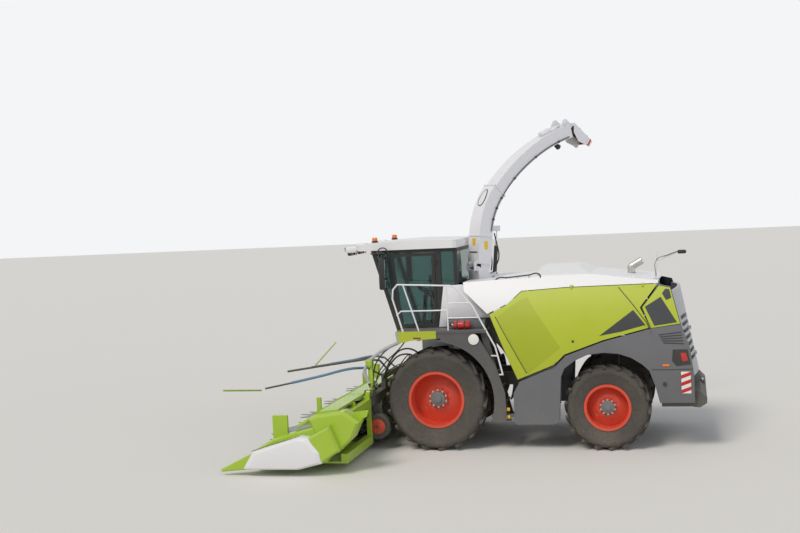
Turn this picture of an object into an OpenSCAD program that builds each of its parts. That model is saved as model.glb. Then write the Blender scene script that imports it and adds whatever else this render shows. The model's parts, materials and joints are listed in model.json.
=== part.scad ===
// Self-propelled forage harvester with a folding rotary maize header.
// X runs forward, Y to the machine's left and Z up. Sizes are millimetres. The modules
// measure lengths from the front axle, and placed() moves them to the machine's middle.

/* [Overall] */
// Reach from the front axle forward to the divider tips
front_reach = 3550; // [3450:10:3700]
// Reach from the front axle back to the bumper's end
rear_reach = 4970; // [4900:10:5100]
// Distance between the axles
wheelbase = 3195; // [3150:5:3250]

/* [Wheels] */
// Outer radius of a front tyre, over its lugs
front_tyre_r = 970; // [955:5:985]
// Width of a front tyre
front_tyre_w = 710; // [660:10:720]
// Outer face of the front tyres from the centre line
front_outer_y = 1515; // [1500:5:1540]
// Outer radius of a front rim's flange
front_rim_r = 540; // [500:5:560]
// Outer radius of a rear tyre, over its lugs
rear_tyre_r = 790; // [775:5:800]
// Width of a rear tyre
rear_tyre_w = 560; // [520:10:580]
// Outer face of the rear tyres from the centre line
rear_outer_y = 1420; // [1400:5:1440]
// Outer radius of a rear rim's flange
rear_rim_r = 432; // [400:2:450]
// Height of a tread lug
lug_h = 46; // [30:1:50]
// Lugs on each side of a tyre
lug_count = 18; // [12:1:22]
// Kingpin distance from the centre line
kingpin_y = 720; // [700:5:740]

/* [Body] */
// Half width of the lower body
body_half_w = 1450; // [1430:5:1470]
// Radius of the flank's curve, seen from the front
flank_r = 3200; // [3000:50:3400]
// Height at which the flanks are widest
flank_z = 1550; // [1450:10:1650]
// Thickness of a body panel
panel_t = 40; // [30:1:50]

/* [Cab] */
// Half width of the cab
cab_half_w = 900; // [880:5:920]
// Cab rear wall behind the front axle
cab_rear = 410; // [400:5:430]
// Height of the cab floor's top
cab_floor_z = 2200; // [2150:5:2250]
// Height of the roof's underside
cab_roof_z = 3830; // [3780:5:3860]
// Thickness of the cab walls and the door
cab_wall = 60; // [50:1:70]
// Thickness of a glass pane
glass_t = 8; // [6:1:12]

/* [Spout] */
// Turret centre behind the front axle
turret_back = 690; // [685:5:720]
// Slew of the spout to the right, as parked
spout_slew = 50; // [50:1:50]
// Outer width of the duct
duct_w = 330; // [300:5:340]
// Depth of the duct's lower part
duct_d = 330; // [300:5:340]
// Thickness of the duct's walls
duct_t = 12; // [8:1:16]
// Height of the spout's lift hinge
lift_hinge_z = 3450; // [3400:5:3500]

/* [Header] */
// Half of the working width
header_half_w = 3700; // [3600:10:3750]
// Half width of the middle section
centre_half_w = 1500; // [1480:5:1520]
// Radius of a rotor over its lowest teeth
rotor_r = 730; // [680:5:740]
// Rotor axes ahead of the front axle
rotor_x = 2350; // [2300:10:2400]
// Teeth round each ring of a rotor
tooth_count = 12; // [8:1:16]
// Height of the header's lift pivot
feeder_pivot_z = 1000; // [980:5:1020]
// Lift pivot ahead of the front axle
feeder_pivot_x = 300; // [280:5:320]

/* [Hidden] */

LIME = "#AFBC1E";
LIME_BRIGHT = "#A6C81A";
PALE = "#E4E4EA";
GREY = "#5B5D63";
DARK = "#3C3D40";
BLACK = "#222326";
RED = "#E8401A";
RUBBER = "#3E3C3E";
STEEL = "#9A9CA0";
SMOKE = "#2F3B40";

axle_x = (rear_reach - front_reach) / 2;
front_axle_z = front_tyre_r;
rear_axle_z = rear_tyre_r;
hair = 0.3;

// Moves a piece from the front axle's measure to the machine's middle
module placed() translate([axle_x, 0, 0]) children();

// A straight round bar from p to q
module bar(p, q, r) {
    d = q - p;
    len = norm(d);
    translate(p) rotate([0, acos(d.z / len), atan2(d.y, d.x)]) cylinder(h = len, r = r, $fn = 24);
}

// A tube that follows points, its corners rounded by a ball a touch wider than the tube
module tube_path(points, r) {
    for (i = [0 : len(points) - 2]) bar(points[i], points[i + 1], r);
    if (len(points) > 2) for (i = [1 : len(points) - 2]) translate(points[i]) sphere(r = r + 0.5, $fn = 24);
}

// A block from its lowest corner to its highest
module block(a, b) translate(a) cube(b - a);

// A side outline, given as [x, z] points, run from y0 to y1
module side_plate(outline, y0, y1) {
    translate([0, y1, 0]) rotate([90, 0, 0]) linear_extrude(y1 - y0) polygon(outline);
}

// Left and right copies
module both_sides() {
    children();
    mirror([0, 1, 0]) children();
}

// Wheels

module tyre_section(r, w, seat_r, bead_half) {
    shoulder = 90;
    wall_start = seat_r + 42;
    polygon([[seat_r, -bead_half], [wall_start, -bead_half], [r - shoulder, -w / 2],
        [r - shoulder, w / 2], [wall_start, bead_half], [seat_r, bead_half]]);
    translate([seat_r, -w / 2 + shoulder]) square([r - seat_r, w - 2 * shoulder]);
    for (s = [-1, 1]) translate([r - shoulder, s * (w / 2 - shoulder)]) circle(r = shoulder, $fn = 48);
}

// A tyre on the Y axis: its carcass, with two rows of slanted lugs that meet at the middle
module farm_tyre(r, w, rim_r) {
    seat_r = rim_r - 35 + hair;
    bead_half = w / 2 - 75;
    base_r = r - lug_h;
    lug_len = w * 0.62;
    rotate([90, 0, 0]) rotate_extrude($fn = 96) tyre_section(base_r, w - 20, seat_r, bead_half);
    intersection() {
        rotate([90, 0, 0]) cylinder(h = w, r = r, center = true, $fn = 96);
        for (side = [-1, 1], i = [0 : lug_count - 1])
            rotate([0, (i + (side > 0 ? 0.5 : 0)) * 360 / lug_count, 0])
                translate([0, side * w * 0.235, base_r - 20])
                    rotate([0, 0, side * 40]) translate([-27, -lug_len / 2, 0])
                        cube([54, lug_len, lug_h + 60]);
    }
}

// A dished rim on the Y axis, its open side to +Y
module dished_rim(w, rim_r, dish, hub_r) {
    bead_half = w / 2 - 75;
    seat_r = rim_r - 35;
    out = bead_half + 15;
    rotate([-90, 0, 0]) {
        rotate_extrude($fn = 96) {
            translate([seat_r - 14, -out]) square([14, 2 * out]);
            for (s = [-1, 1]) translate([seat_r - 1, s > 0 ? bead_half + hair : -out])
                square([36, 15 - hair]);
            polygon([[hub_r - 40, out - dish], [hub_r + 30, out - dish], [seat_r - 8, out - dish - 90],
                [seat_r - 8, out - dish - 120], [hub_r + 20, out - dish - 30],
                [hub_r - 40, out - dish - 30]]);
        }
        translate([0, 0, out - dish - 60]) cylinder(h = 110, r = hub_r - 30, $fn = 48);
        translate([0, 0, out - dish - 60]) cylinder(h = 150, r = hub_r * 0.55, $fn = 48);
        for (i = [0 : 9]) rotate([0, 0, 36 * i]) translate([hub_r + 2, 0, out - dish - 20])
            cylinder(h = 45, r = 15, $fn = 24);
    }
}

front_mid_y = front_outer_y - front_tyre_w / 2;
rear_mid_y = rear_outer_y - rear_tyre_w / 2;

module at_front_wheel(side)
    placed() translate([0, side * front_mid_y, front_axle_z]) rotate([0, 0, side > 0 ? 0 : 180]) children();
module at_rear_wheel(side)
    placed() translate([-wheelbase, side * rear_mid_y, rear_axle_z]) rotate([0, 0, side > 0 ? 0 : 180])
        children();

module tyre_front(side) color(RUBBER) at_front_wheel(side) farm_tyre(front_tyre_r, front_tyre_w, front_rim_r);
module rim_front(side) color(RED) at_front_wheel(side) dished_rim(front_tyre_w, front_rim_r, 240, 210);
module tyre_rear(side) color(RUBBER) at_rear_wheel(side) farm_tyre(rear_tyre_r, rear_tyre_w, rear_rim_r);
module rim_rear(side) color(RED) at_rear_wheel(side) dished_rim(rear_tyre_w, rear_rim_r, 150, 170);

// Axles and running gear

// Inner face of a rim's hub from the centre line
front_hub_y = front_mid_y + front_tyre_w / 2 - 60 - 240 - 60;
rear_hub_y = rear_mid_y + rear_tyre_w / 2 - 60 - 150 - 60;

module front_axle() color(DARK) placed() translate([0, 0, front_axle_z]) {
    // Low beam, final drives and the seats under the frame rails
    block([-80, -front_hub_y + 180, -370], [80, front_hub_y - 180, -170]);
    both_sides() {
        translate([0, front_hub_y - 245, 0]) rotate([-90, 0, 0])
            cylinder(h = 245 - hair, r = 190, $fn = 48);
        block([-80, front_hub_y - 245, -370], [80, front_hub_y - 180, 0]);
        block([-80, rail_y, -171], [80, rail_y + rail_w, rail_low_z - front_axle_z]);
    }
}

module rear_axle() color(DARK) placed() translate([-wheelbase, 0, rear_axle_z]) {
    block([-90, -kingpin_y + 110, -90], [90, kingpin_y - 110, 90]);
    both_sides() difference() {
        union() {
            block([-90, kingpin_y - 140, -110], [90, kingpin_y, -60]);
            block([-90, kingpin_y - 140, 60], [90, kingpin_y, 110]);
            for (z = [-110, 60]) translate([0, kingpin_y, z]) cylinder(h = 50, r = 90, $fn = 48);
            block([-90, kingpin_y - 140, -110], [90, kingpin_y - 100, 110]);
        }
        translate([0, kingpin_y, -120]) cylinder(h = 240, r = 35.1, $fn = 48);
    }
    // The pivot post under the frame carries the beam at its middle
    block([-160, -150, 89], [160, 150, rear_rail_z - rear_axle_z]);
}

// A steering knuckle: kingpin, fork block and wheel spindle
module knuckle(side) color(STEEL) placed() translate([-wheelbase, side * kingpin_y, rear_axle_z])
    rotate([0, 0, side > 0 ? 0 : 180]) {
        translate([0, 0, -130]) cylinder(h = 260, r = 35, $fn = 48);
        translate([0, 0, -59]) cylinder(h = 118, r = 85, $fn = 48);
        rotate([-90, 0, 0]) cylinder(h = rear_hub_y - kingpin_y - hair, r = 58, $fn = 48);
        translate([0, 98, 0]) rotate([-90, 0, 0])
            cylinder(h = rear_hub_y - kingpin_y - 98 - hair, r = 110, $fn = 48);
    }

// Frame rails: inner face, width, and the undersides of the front and rear stretches
rail_y = 380;
rail_w = 110;
rail_low_z = 1100;
rear_rail_z = 1660;
rail_h = 240;
gooseneck_x = -2150;
rail_end_x = -4700;

module chassis_frame() color(DARK) placed() {
    both_sides() {
        side_plate([[520, rail_low_z], [520, rail_low_z + rail_h], [-1750, rail_low_z + rail_h],
            [gooseneck_x, rear_rail_z + rail_h], [rail_end_x + 70, rear_rail_z + rail_h],
            [rail_end_x + 60, rear_rail_z], [gooseneck_x + 120, rear_rail_z], [-1850, rail_low_z]],
            rail_y, rail_y + rail_w);
    }
    // Cross-members, given as [x, z low, z high]
    for (m = [[-1500, 1120, 1320], [-2300, 1680, 1880], [rail_end_x + 140, 1680, 1880]])
        block([m[0] - 70, -rail_y - 1, m[1]], [m[0] + 70, rail_y + 1, m[2]]);
    block([-wheelbase - 160, -rail_y - 1, rear_rail_z], [-wheelbase + 160, rail_y + 1, rear_rail_z + 120]);
    // Outriggers that carry the side boxes and the rear body
    for (m = [[-1560, 1140, 1200, box_inner_y - hair], [-2230, 1680, 1800, 1300],
            [-4300, 1680, 1800, skin_inner_y(1800) - hair]])
        both_sides() block([m[0] - 50, rail_y + rail_w - 1, m[1]], [m[0] + 50, m[3], m[2]]);
    // Tail legs that carry the bumper
    both_sides() side_plate([[rail_end_x + 140, rear_rail_z + 10], [rail_end_x + 62, rear_rail_z + 10],
        [rail_end_x, 1500], [rail_end_x, 780], [rail_end_x + 140, 780]], rail_y, rail_y + rail_w);
    // Ears of the lift cylinders under the front rails
    for (y = [lift_y - 55, lift_y + 31]) both_sides() difference() {
        side_plate([[100, rail_low_z + 1], [225, rail_low_z + 1], [header_foot.x + 45, header_foot.y],
            [header_foot.x + 20, header_foot.y - 45], [header_foot.x - 20, header_foot.y - 45],
            [header_foot.x - 45, header_foot.y]], y, y + 24);
        translate([header_foot.x, y - 5, header_foot.y]) rotate([-90, 0, 0])
            cylinder(h = 40, r = 25.1, $fn = 48);
    }
    // Ears of the intake's pivots
    both_sides() difference() {
        block([feeder_pivot_x - 60, rail_y + 2, feeder_pivot_z - 60],
            [feeder_pivot_x + 60, rail_y + 27, rail_low_z + 1]);
        translate([feeder_pivot_x, rail_y - 5, feeder_pivot_z]) rotate([-90, 0, 0])
            cylinder(h = 40, r = 30.1, $fn = 48);
    }
}

// The closed housing of the chopping drum and blower, with its channel up to the turret
module crop_channel() color(DARK) placed() {
    side_plate([[feeder_pivot_x - 75, 1345], [feeder_pivot_x - 75, 830], [-420, 830], [-900, 1000],
        [-900, 1700], [-turret_back - 170, 2400], [-turret_back - 170, 2990],
        [-turret_back + 170, 2990], [-turret_back + 170, 2100], [-200, 1700]],
        -rail_y + hair, rail_y - hair);
}

module engine_block() color(STEEL) placed() {
    top = rear_rail_z + rail_h;
    block([-3050, -700, top], [-2300, 700, top + 850]);
    block([-2900, -560, top + 849], [-2450, 560, top + 1000]);
    block([-4250, -900, top], [-4050, 900, top + 900]);
}

// Body shell, shared outlines

// Front view of the whole body: two flank curves under a crown
module body_section(inset) {
    crown_r = 2600;
    crown_top = 3430;
    intersection() {
        for (s = [-1, 1]) intersection_for (k = [-1, 1])
            translate([k * (flank_r - body_half_w), flank_z]) circle(r = flank_r - inset, $fn = 180);
        translate([0, crown_top - crown_r]) circle(r = crown_r - inset, $fn = 180);
        translate([-2000, 400]) square([4000, 3200]);
    }
}

// Face of the flank at height z, from the centre line, set in by an inset
function flank_y(z, inset = 0) = sqrt(pow(flank_r - inset, 2) - pow(z - flank_z, 2)) - flank_r + body_half_w;
// Inner face of the lower skins
skin_t = panel_t + 30;
function skin_inner_y(z) = flank_y(z, skin_t);
// A plane well outside the body, and one well inside its flanks
far_y = body_half_w + 50;
near_y = body_half_w - 550;
box_inner_y = body_half_w - 440;
box_front_x = -1480;

// Runs the body's front view along X, from x0 back to x1
module body_run(x0, x1, inset) {
    translate([x1, 0, 0]) rotate([90, 0, 90]) linear_extrude(x0 - x1) body_section(inset);
}

hood_outline = [[-530, 3160], [-560, 3000], [-1020, 2570], [-1400, 2750], [-1660, 2975], [-2500, 3020],
    [-3470, 3035], [-4170, 3045], [-4180, 3090], [-2930, 3250], [-1930, 3225]];

module hood_top() color(PALE) placed() {
    hood_shell();
    hood_fittings();
    hood_hatch();
}

// The raised hatch over the cooler, open below, seated on the hood
module hood_hatch() difference() {
    intersection() {
        side_plate([[-2930, 3250 + hair], [-2700, 3385], [-1980, 3385], [-1930, 3225 + hair]],
            -body_half_w, body_half_w);
        body_run(-1900, -3000, 0);
    }
    intersection() {
        side_plate([[-2850, 3200], [-2850, 3260], [-2680, 3345], [-2010, 3345], [-1980, 3200]],
            -body_half_w, body_half_w);
        body_run(-1900, -3000, panel_t);
    }
}

module hood_shell() difference() {
    intersection() {
        side_plate(hood_outline, -body_half_w, body_half_w);
        body_run(-500, -4200, 0);
    }
    intersection() {
        side_plate([[-760, 2500], [-760, 3080], [-1930, 3140], [-2900, 3190], [-4100, 3045], [-4100, 2500]],
            -body_half_w, body_half_w);
        body_run(-500, -4300, panel_t);
    }
    // The channel up to the turret and the exhaust come through the hood
    translate([-turret_back, 0, 2400]) cylinder(h = 900, r = 300, $fn = 96);
    block([-turret_back - 175, -rail_y, 2300], [-turret_back + 400, rail_y, 3000]);
    translate([exhaust_x, exhaust_y, 2400]) cylinder(h = 900, r = exhaust_r + hair, $fn = 48);
}

exhaust_x = -3640;
exhaust_y = -250;
exhaust_r = 75;

// Hinges of the side panels: their axis along X, just outside the seam, and their places
panel_hinge_z = 3045;
panel_hinge_y = flank_y(panel_hinge_z) + 16.7;
panel_hinges = [-2600, -3900];
panel_pin_r = 5;

module at_panel_hinge(x) translate([x, panel_hinge_y, panel_hinge_z]) rotate([90, 0, 90]) children();

// Posts that carry the hood on the radiators, and the side panels' hinge lugs
module hood_fittings() both_sides() {
    block([-4160, 500, rear_rail_z + rail_h + 900 + hair], [-4110, 560, 3070]);
    for (x = panel_hinges) {
        for (dx = [-34, 20]) block([x + dx, panel_hinge_y - 36, panel_hinge_z - 8],
            [x + dx + 14, panel_hinge_y + 8, panel_hinge_z + 10]);
        at_panel_hinge(x - 34) cylinder(h = 68, r = panel_pin_r, $fn = 24);
    }
}

// Side outline of a lime side panel
side_panel_outline = [[-1060, 2560], [-1405, 2738], [-1665, 2962], [-2500, 3008], [-3470, 3022],
    [-4160, 3032], [-3840, 2620], [-4010, 2262], [35 - wheelbase, 2050], [745 - wheelbase, 1800],
    [925 - wheelbase, 1620], [-1570, 1345]];

module side_panel(side) color(LIME) placed() {
    intersection() {
        difference() {
            body_run(-1000, -4500, 0);
            body_run(-900, -4600, panel_t);
        }
        side_plate(side_panel_outline, side > 0 ? near_y : -far_y, side > 0 ? far_y : -near_y);
    }
    // Hinge straps over the seam, outlined as [y, z] from the axis
    mirror([0, side > 0 ? 0 : 1, 0]) for (x = panel_hinges) difference() {
        at_panel_hinge(x - 15) linear_extrude(30) union() {
            circle(r = 11, $fn = 24);
            polygon([[-10, -2], [10, 4], [26, -40], [26, -60], [4, -60], [4, -41], [12, -33]]);
        }
        at_panel_hinge(x - 20) cylinder(h = 40, r = panel_pin_r + 0.1, $fn = 24);
    }
}

module rear_grilles() color(SMOKE) placed() both_sides() intersection() {
    difference() {
        body_run(-3800, -4600, 6);
        body_run(-3700, -4700, panel_t);
    }
    side_plate([[-3868, 2620], [-4192, 3020], [-4395, 2970], [-4560, 2305 + hair], [-4020, 2240 + hair]],
        near_y, far_y);
}

// Rear wheel arch, outlined as [x, z] with x from the rear axle, and cut right through a side
arch_outline = [[870, 500], [820, 1390], [755, 1540], [565, 1680], [315, 1790], [35, 1822],
    [-235, 1800], [-465, 1722], [-655, 1600], [-780, 1480], [-875, 1200], [-955, 840], [-975, 500]];

module arch_cut() translate([-wheelbase, 0, 0]) side_plate(arch_outline, near_y, far_y + 50);

module lower_sides() color(GREY) placed() {
    both_sides() side_skin();
    tail_posts();
}

module side_skin() {
    // Outer skin behind and over the rear arch
    difference() {
        intersection() {
            difference() {
                body_run(-1400, -4800, 0);
                body_run(-1300, -4900, skin_t);
            }
            side_plate([[-1640, 1300], [905 - wheelbase, 1595], [720 - wheelbase, 1775],
                [25 - wheelbase, 2025], [-4020, 2240], [-4560, 2305], [-4700, 1900], [-4760, 1400],
                [-4760, 880], [box_front_x, 880]], near_y, far_y);
        }
        arch_cut();
    }
    // Box between the wheels
    difference() {
        side_plate([[box_front_x, 540], [box_front_x, 1080], [-1600, 1300], [905 - wheelbase, 1580],
            [825 - wheelbase, 1390], [880 - wheelbase, 560], [995 - wheelbase, 500], [box_front_x - 40, 500]],
            box_inner_y, body_half_w);
        arch_cut();
        steered_tyre_room();
    }
}

// Room that the front corner of a steered rear tyre sweeps round its kingpin
module steered_tyre_room() {
    tyre_corner = norm([rear_tyre_r, rear_outer_y - kingpin_y]);
    translate([-wheelbase, kingpin_y, 0]) cylinder(h = 2 * rear_tyre_r + 100, r = tyre_corner + 12, $fn = 120);
}

// Tail door: its lowest point at the back, how far it leans forward, its height and hinge side
tail_x = 120 - rear_reach;
tail_z = 1310;
tail_lean = 10.4;
tail_h = 1640;
tail_r = 4000;
tail_half_w = 1285;
tail_t = 50;
tail_edge_x = tail_r - sqrt(pow(tail_r, 2) - pow(tail_half_w, 2));
tail_hinges = [120, 640];
tail_pin_r = 8;
tail_slots = [280, 410, 540, 670, 800, 930, 1060];

module at_tail() translate([tail_x, 0, tail_z]) rotate([0, tail_lean, 0]) children();

// Axis of the tail door's hinge, behind and outside the side skin, in the door's own leaning frame
tail_hinge_x = 15;
tail_hinge_y = -tail_half_w - 100;
tail_arm = -tail_hinge_y - tail_half_w + 25;
module at_tail_hinge(z) at_tail() translate([tail_hinge_x, tail_hinge_y, z]) children();

// Corner posts beside the tail door, the right one with the hinge lugs
module tail_posts() {
    both_sides() intersection() {
        at_tail() block([tail_edge_x + 25, tail_half_w + 12, 20], [tail_edge_x + 85, tail_half_w + 150, 780]);
        body_run(-4300, -5000, 10);
    }
    for (z = tail_hinges) {
        at_tail_hinge(z - 34) cylinder(h = 68, r = tail_pin_r, $fn = 24);
        for (dz = [-34, 20]) at_tail_hinge(z + dz) block([-9, -12, 0], [85, 12, 14]);
    }
}

module tail_door() color("#C9CACE") placed() {
    tail_skin();
    for (z = tail_hinges) difference() {
        union() {
            at_tail_hinge(z - 15) cylinder(h = 30, r = 13, $fn = 24);
            at_tail_hinge(z - 15) block([-2, 0, 0], [13, tail_arm, 30]);
            at_tail_hinge(z - 15) block([-2, tail_arm - 20, 0], [tail_edge_x - tail_hinge_x + 3, tail_arm, 30]);
        }
        at_tail_hinge(z - 20) cylinder(h = 40, r = tail_pin_r + 0.1, $fn = 24);
    }
}

module tail_skin() intersection() {
    at_tail() difference() {
        intersection() {
            translate([tail_r, 0, 0]) difference() {
                cylinder(h = tail_h, r = tail_r, $fn = 240);
                translate([0, 0, -1]) cylinder(h = tail_h + 2, r = tail_r - tail_t, $fn = 240);
            }
            block([-10, -tail_half_w, 0], [400, tail_half_w, tail_h]);
        }
        for (z = tail_slots) block([-50, -880, z], [400, 880, z + 70]);
    }
    body_run(-4000, -5000, skin_t + 20);
}

// The bumper sits behind the frame's tail legs. Its tow pin hole stands upright
bumper_front_x = rail_end_x - hair;
tow_x = -4900;
tow_z = 930;
tow_r = 20;
tow_len = 280;

module rear_bumper() color(DARK) placed() {
    difference() {
        union() {
            side_plate([[bumper_front_x, 800], [bumper_front_x, 1080], [-4860, 1080], [-rear_reach, 960],
                [-rear_reach, 860], [-4840, 780]], -1300, 1300);
            // Boss of the tow pin
            translate([tow_x, 0, tow_z - tow_len / 2]) cylinder(h = tow_len, r = 60, $fn = 48);
        }
        translate([tow_x, 0, 0]) cylinder(h = 2000, r = tow_r, $fn = 48);
    }
    // Side returns that close the corner behind the wheels
    both_sides() block([-4760, 1180, 800], [-4170, 1300, 879]);
}

module exhaust_stack() color(STEEL) placed() translate([exhaust_x, exhaust_y, 2850]) difference() {
    union() {
        cylinder(h = 430, r = exhaust_r, $fn = 48);
        translate([0, 0, 430]) rotate([0, -60, 0]) cylinder(h = 240, r = exhaust_r, $fn = 48);
        translate([0, 0, 430]) sphere(r = exhaust_r, $fn = 48);
    }
    translate([0, 0, 430]) rotate([0, -60, 0]) cylinder(h = 260, r = exhaust_r - 9, $fn = 48);
}

module camera_mast() color(PALE) placed() {
    foot_z = 3105;
    tube_path([[-4120, 600, foot_z + 10], [-4150, 600, 3620]], 22);
    tube_path([[-4140, 600, 3420], [-4560, 640, 3590]], 14);
    block([-4680, 600, 3550], [-4545, 680, 3610]);
    block([-4170, 550, foot_z], [-4070, 650, foot_z + 20]);
}

// Cab

pillar_top_x = 1300;
pillar_low_x = 830;

// Outline of the cab's side, from the floor to the roof
cab_side = [[-cab_rear, cab_floor_z], [-cab_rear, cab_roof_z], [pillar_top_x, cab_roof_z],
    [pillar_low_x, cab_floor_z]];

module cab_floor() color(PALE) placed() {
    block([-cab_rear, -cab_half_w, cab_floor_z - 70], [pillar_low_x, cab_half_w, cab_floor_z]);
    // Legs down to the frame rails
    both_sides() block([-150, rail_y, rail_low_z + rail_h + hair], [450, rail_y + rail_w, cab_floor_z - 69]);
    // Lower rear wall, behind the seat
    block([-cab_rear, -cab_half_w, cab_floor_z - 1], [-cab_rear + cab_wall, cab_half_w, 3040]);
}

module cab_frame() color(BLACK) placed() {
    cab_shell();
    door_hinge_pins();
}

module cab_shell() difference() {
    side_plate(cab_side, -cab_half_w, cab_half_w);
    // The room inside
    side_plate([[-cab_rear + cab_wall, cab_floor_z - 5], [-cab_rear + cab_wall, cab_roof_z - cab_wall],
        [pillar_top_x - cab_wall - 18, cab_roof_z - cab_wall],
        [pillar_low_x - cab_wall - 3, cab_floor_z - 5]], -cab_half_w + cab_wall, cab_half_w - cab_wall);
    // Lower rear wall belongs to the floor piece
    block([-cab_rear - 5, -cab_half_w - 5, cab_floor_z - 5], [-cab_rear + cab_wall + 1, cab_half_w + 5, 3041]);
    // Door opening and the window ahead of it on the left, one window on the right
    side_plate(door_opening, cab_half_w - 100, cab_half_w + 20);
    side_plate(front_window, cab_half_w - 100, cab_half_w + 20);
    side_plate([[20, cab_floor_z + 60], [20, cab_roof_z - 70], [pillar_top_x - 95, cab_roof_z - 70],
        [pillar_low_x - 60, cab_floor_z + 60]], -cab_half_w - 20, -cab_half_w + 100);
    // Rear quarter windows
    side_plate([[-cab_rear + 70, 3060], [-cab_rear + 70, cab_roof_z - 70], [-90, cab_roof_z - 70],
        [-90, 3060]], -cab_half_w - 20, cab_half_w + 20);
    // Windscreen and rear window
    side_plate([[pillar_low_x + 100, cab_floor_z + 40], [pillar_low_x - 100, cab_floor_z + 40],
        [pillar_top_x - 300, cab_roof_z - 75], [pillar_top_x + 20, cab_roof_z - 75]],
        -cab_half_w + 75, cab_half_w - 75);
    block([-cab_rear - 20, -cab_half_w + 100, 3060], [-cab_rear + 100, cab_half_w - 100, cab_roof_z - 75]);
}

module cab_roof() color(PALE) placed() {
    difference() {
        union() {
            intersection() {
                side_plate([[-412, cab_roof_z], [-420, cab_roof_z + 60], [-392, cab_roof_z + 150],
                    [600, cab_roof_z + 175], [1300, cab_roof_z + 150], [1600, cab_roof_z + 110],
                    [1640, cab_roof_z + 40], [1560, cab_roof_z]], -970, 970);
                translate([560, 0, cab_roof_z - 10]) linear_extrude(300) intersection() {
                    square([2240, 1940], center = true);
                    circle(r = 1330, $fn = 120);
                }
            }
        }
        // Pocket for the lamps under the front brow
        block([1350, -700, cab_roof_z - 5], [1590, 700, cab_roof_z + 25]);
    }
    // Brow over the work lamps
    side_plate([[1560, cab_roof_z + 30], [1640, cab_roof_z + 110], [1930, cab_roof_z + 70],
        [1945, cab_roof_z + 20]], -620, 620);
}

// Slope of the windscreen: how far x grows with z
screen_slope = (pillar_top_x - pillar_low_x) / (cab_roof_z - cab_floor_z);

module cab_glass() color(SMOKE, 0.5) placed() {
    low = cab_floor_z + 40 + hair;
    high = cab_roof_z - 75 - hair;
    x_low = pillar_low_x - 30 + screen_slope * (low - cab_floor_z);
    x_high = pillar_low_x - 30 + screen_slope * (high - cab_floor_z);
    middle = (front_window[0] + front_window[1] + front_window[2]) / 3;
    // Windscreen
    side_plate([[x_low, low], [x_high, high], [x_high - glass_t, high], [x_low - glass_t, low]],
        -cab_half_w + 75 + hair, cab_half_w - 75 - hair);
    // Rear window
    block([-cab_rear + 20, -cab_half_w + 100 + hair, 3060 + hair],
        [-cab_rear + 20 + glass_t, cab_half_w - 100 - hair, cab_roof_z - 75 - hair]);
    // Left front window, right window and the two quarter windows
    side_plate([for (p = front_window) p + (middle - p) * 0.003], cab_half_w - 20 - glass_t, cab_half_w - 20);
    side_plate([[20 + hair, cab_floor_z + 60 + hair], [20 + hair, cab_roof_z - 70 - hair],
        [pillar_top_x - 96, cab_roof_z - 70 - hair], [pillar_low_x - 61, cab_floor_z + 60 + hair]],
        -cab_half_w + 20, -cab_half_w + 20 + glass_t);
    both_sides() side_plate([[-cab_rear + 70 + hair, 3060 + hair], [-cab_rear + 70 + hair, cab_roof_z - 70 - hair],
        [-90 - hair, cab_roof_z - 70 - hair], [-90 - hair, 3060 + hair]],
        cab_half_w - 20 - glass_t, cab_half_w - 20);
}

// Door opening on the left, its sill above the platform; the door lies inside it
sill_z = 2298;
door_rear_x = 20;
door_low_x = 770;
door_top_x = 935;
door_opening = [[door_rear_x, sill_z], [door_rear_x, cab_roof_z - 70], [door_top_x, cab_roof_z - 70],
    [door_low_x, sill_z]];
front_window = [[900, 2700], [door_top_x + 50, cab_roof_z - 70], [pillar_top_x - 85, cab_roof_z - 70]];
door_gap = 8;
door_outline = [[door_rear_x + door_gap, sill_z + door_gap], [door_rear_x + door_gap, cab_roof_z - 70 - door_gap],
    [door_top_x - door_gap - 1, cab_roof_z - 70 - door_gap], [door_low_x - door_gap, sill_z + door_gap]];
door_window = [[95, sill_z + 70], [95, cab_roof_z - 140], [door_top_x - 70, cab_roof_z - 140],
    [door_low_x - 55, sill_z + 70]];
// Hinge axis of the door, just outside the rear pillar, and the hinges' heights
door_hinge = [8, cab_half_w + 14];
door_hinges = [2480, 3560];
door_pin_r = 9;

module door_hinge_pins() for (z = door_hinges) {
    translate([door_hinge.x, door_hinge.y, z - 45]) cylinder(h = 90, r = door_pin_r, $fn = 24);
    for (dz = [-45, 31]) block([door_hinge.x - 30, cab_half_w - 5, z + dz],
        [door_hinge.x + 9, door_hinge.y + 12, z + dz + 14]);
}

module cab_door() color(BLACK) placed() {
    difference() {
        side_plate(door_outline, cab_half_w - 45, cab_half_w);
        side_plate(door_window, cab_half_w - 60, cab_half_w + 20);
    }
    // Hinge eyes
    for (z = door_hinges) difference() {
        union() {
            translate([door_hinge.x, door_hinge.y, z - 30]) cylinder(h = 60, r = 14, $fn = 24);
            block([door_hinge.x, cab_half_w + 2, z - 30], [door_hinge.x + 60, cab_half_w + 12, z + 30]);
            block([door_hinge.x + 30, cab_half_w - 2, z - 30], [door_hinge.x + 60, cab_half_w + 12, z + 30]);
        }
        translate([door_hinge.x, door_hinge.y, z - 35]) cylinder(h = 70, r = door_pin_r + 0.1, $fn = 24);
    }
}

module door_glass() color(SMOKE, 0.5) placed()
    side_plate([for (p = door_window) [p.x + (p.x < 200 ? hair : -hair), p.y + (p.y < 3000 ? hair : -hair)]],
        cab_half_w - 20 - glass_t, cab_half_w - 20);

module operator_seat() color(DARK) placed() {
    block([-180, -170, cab_floor_z + hair], [180, 170, cab_floor_z + 330]);
    block([-230, -260, cab_floor_z + 330], [290, 260, cab_floor_z + 470]);
    side_plate([[-230, cab_floor_z + 440], [-110, cab_floor_z + 440], [-180, cab_floor_z + 1120],
        [-290, cab_floor_z + 1120]], -250, 250);
    block([-150, -380, cab_floor_z + 600], [300, -280, cab_floor_z + 690]);
}

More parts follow.
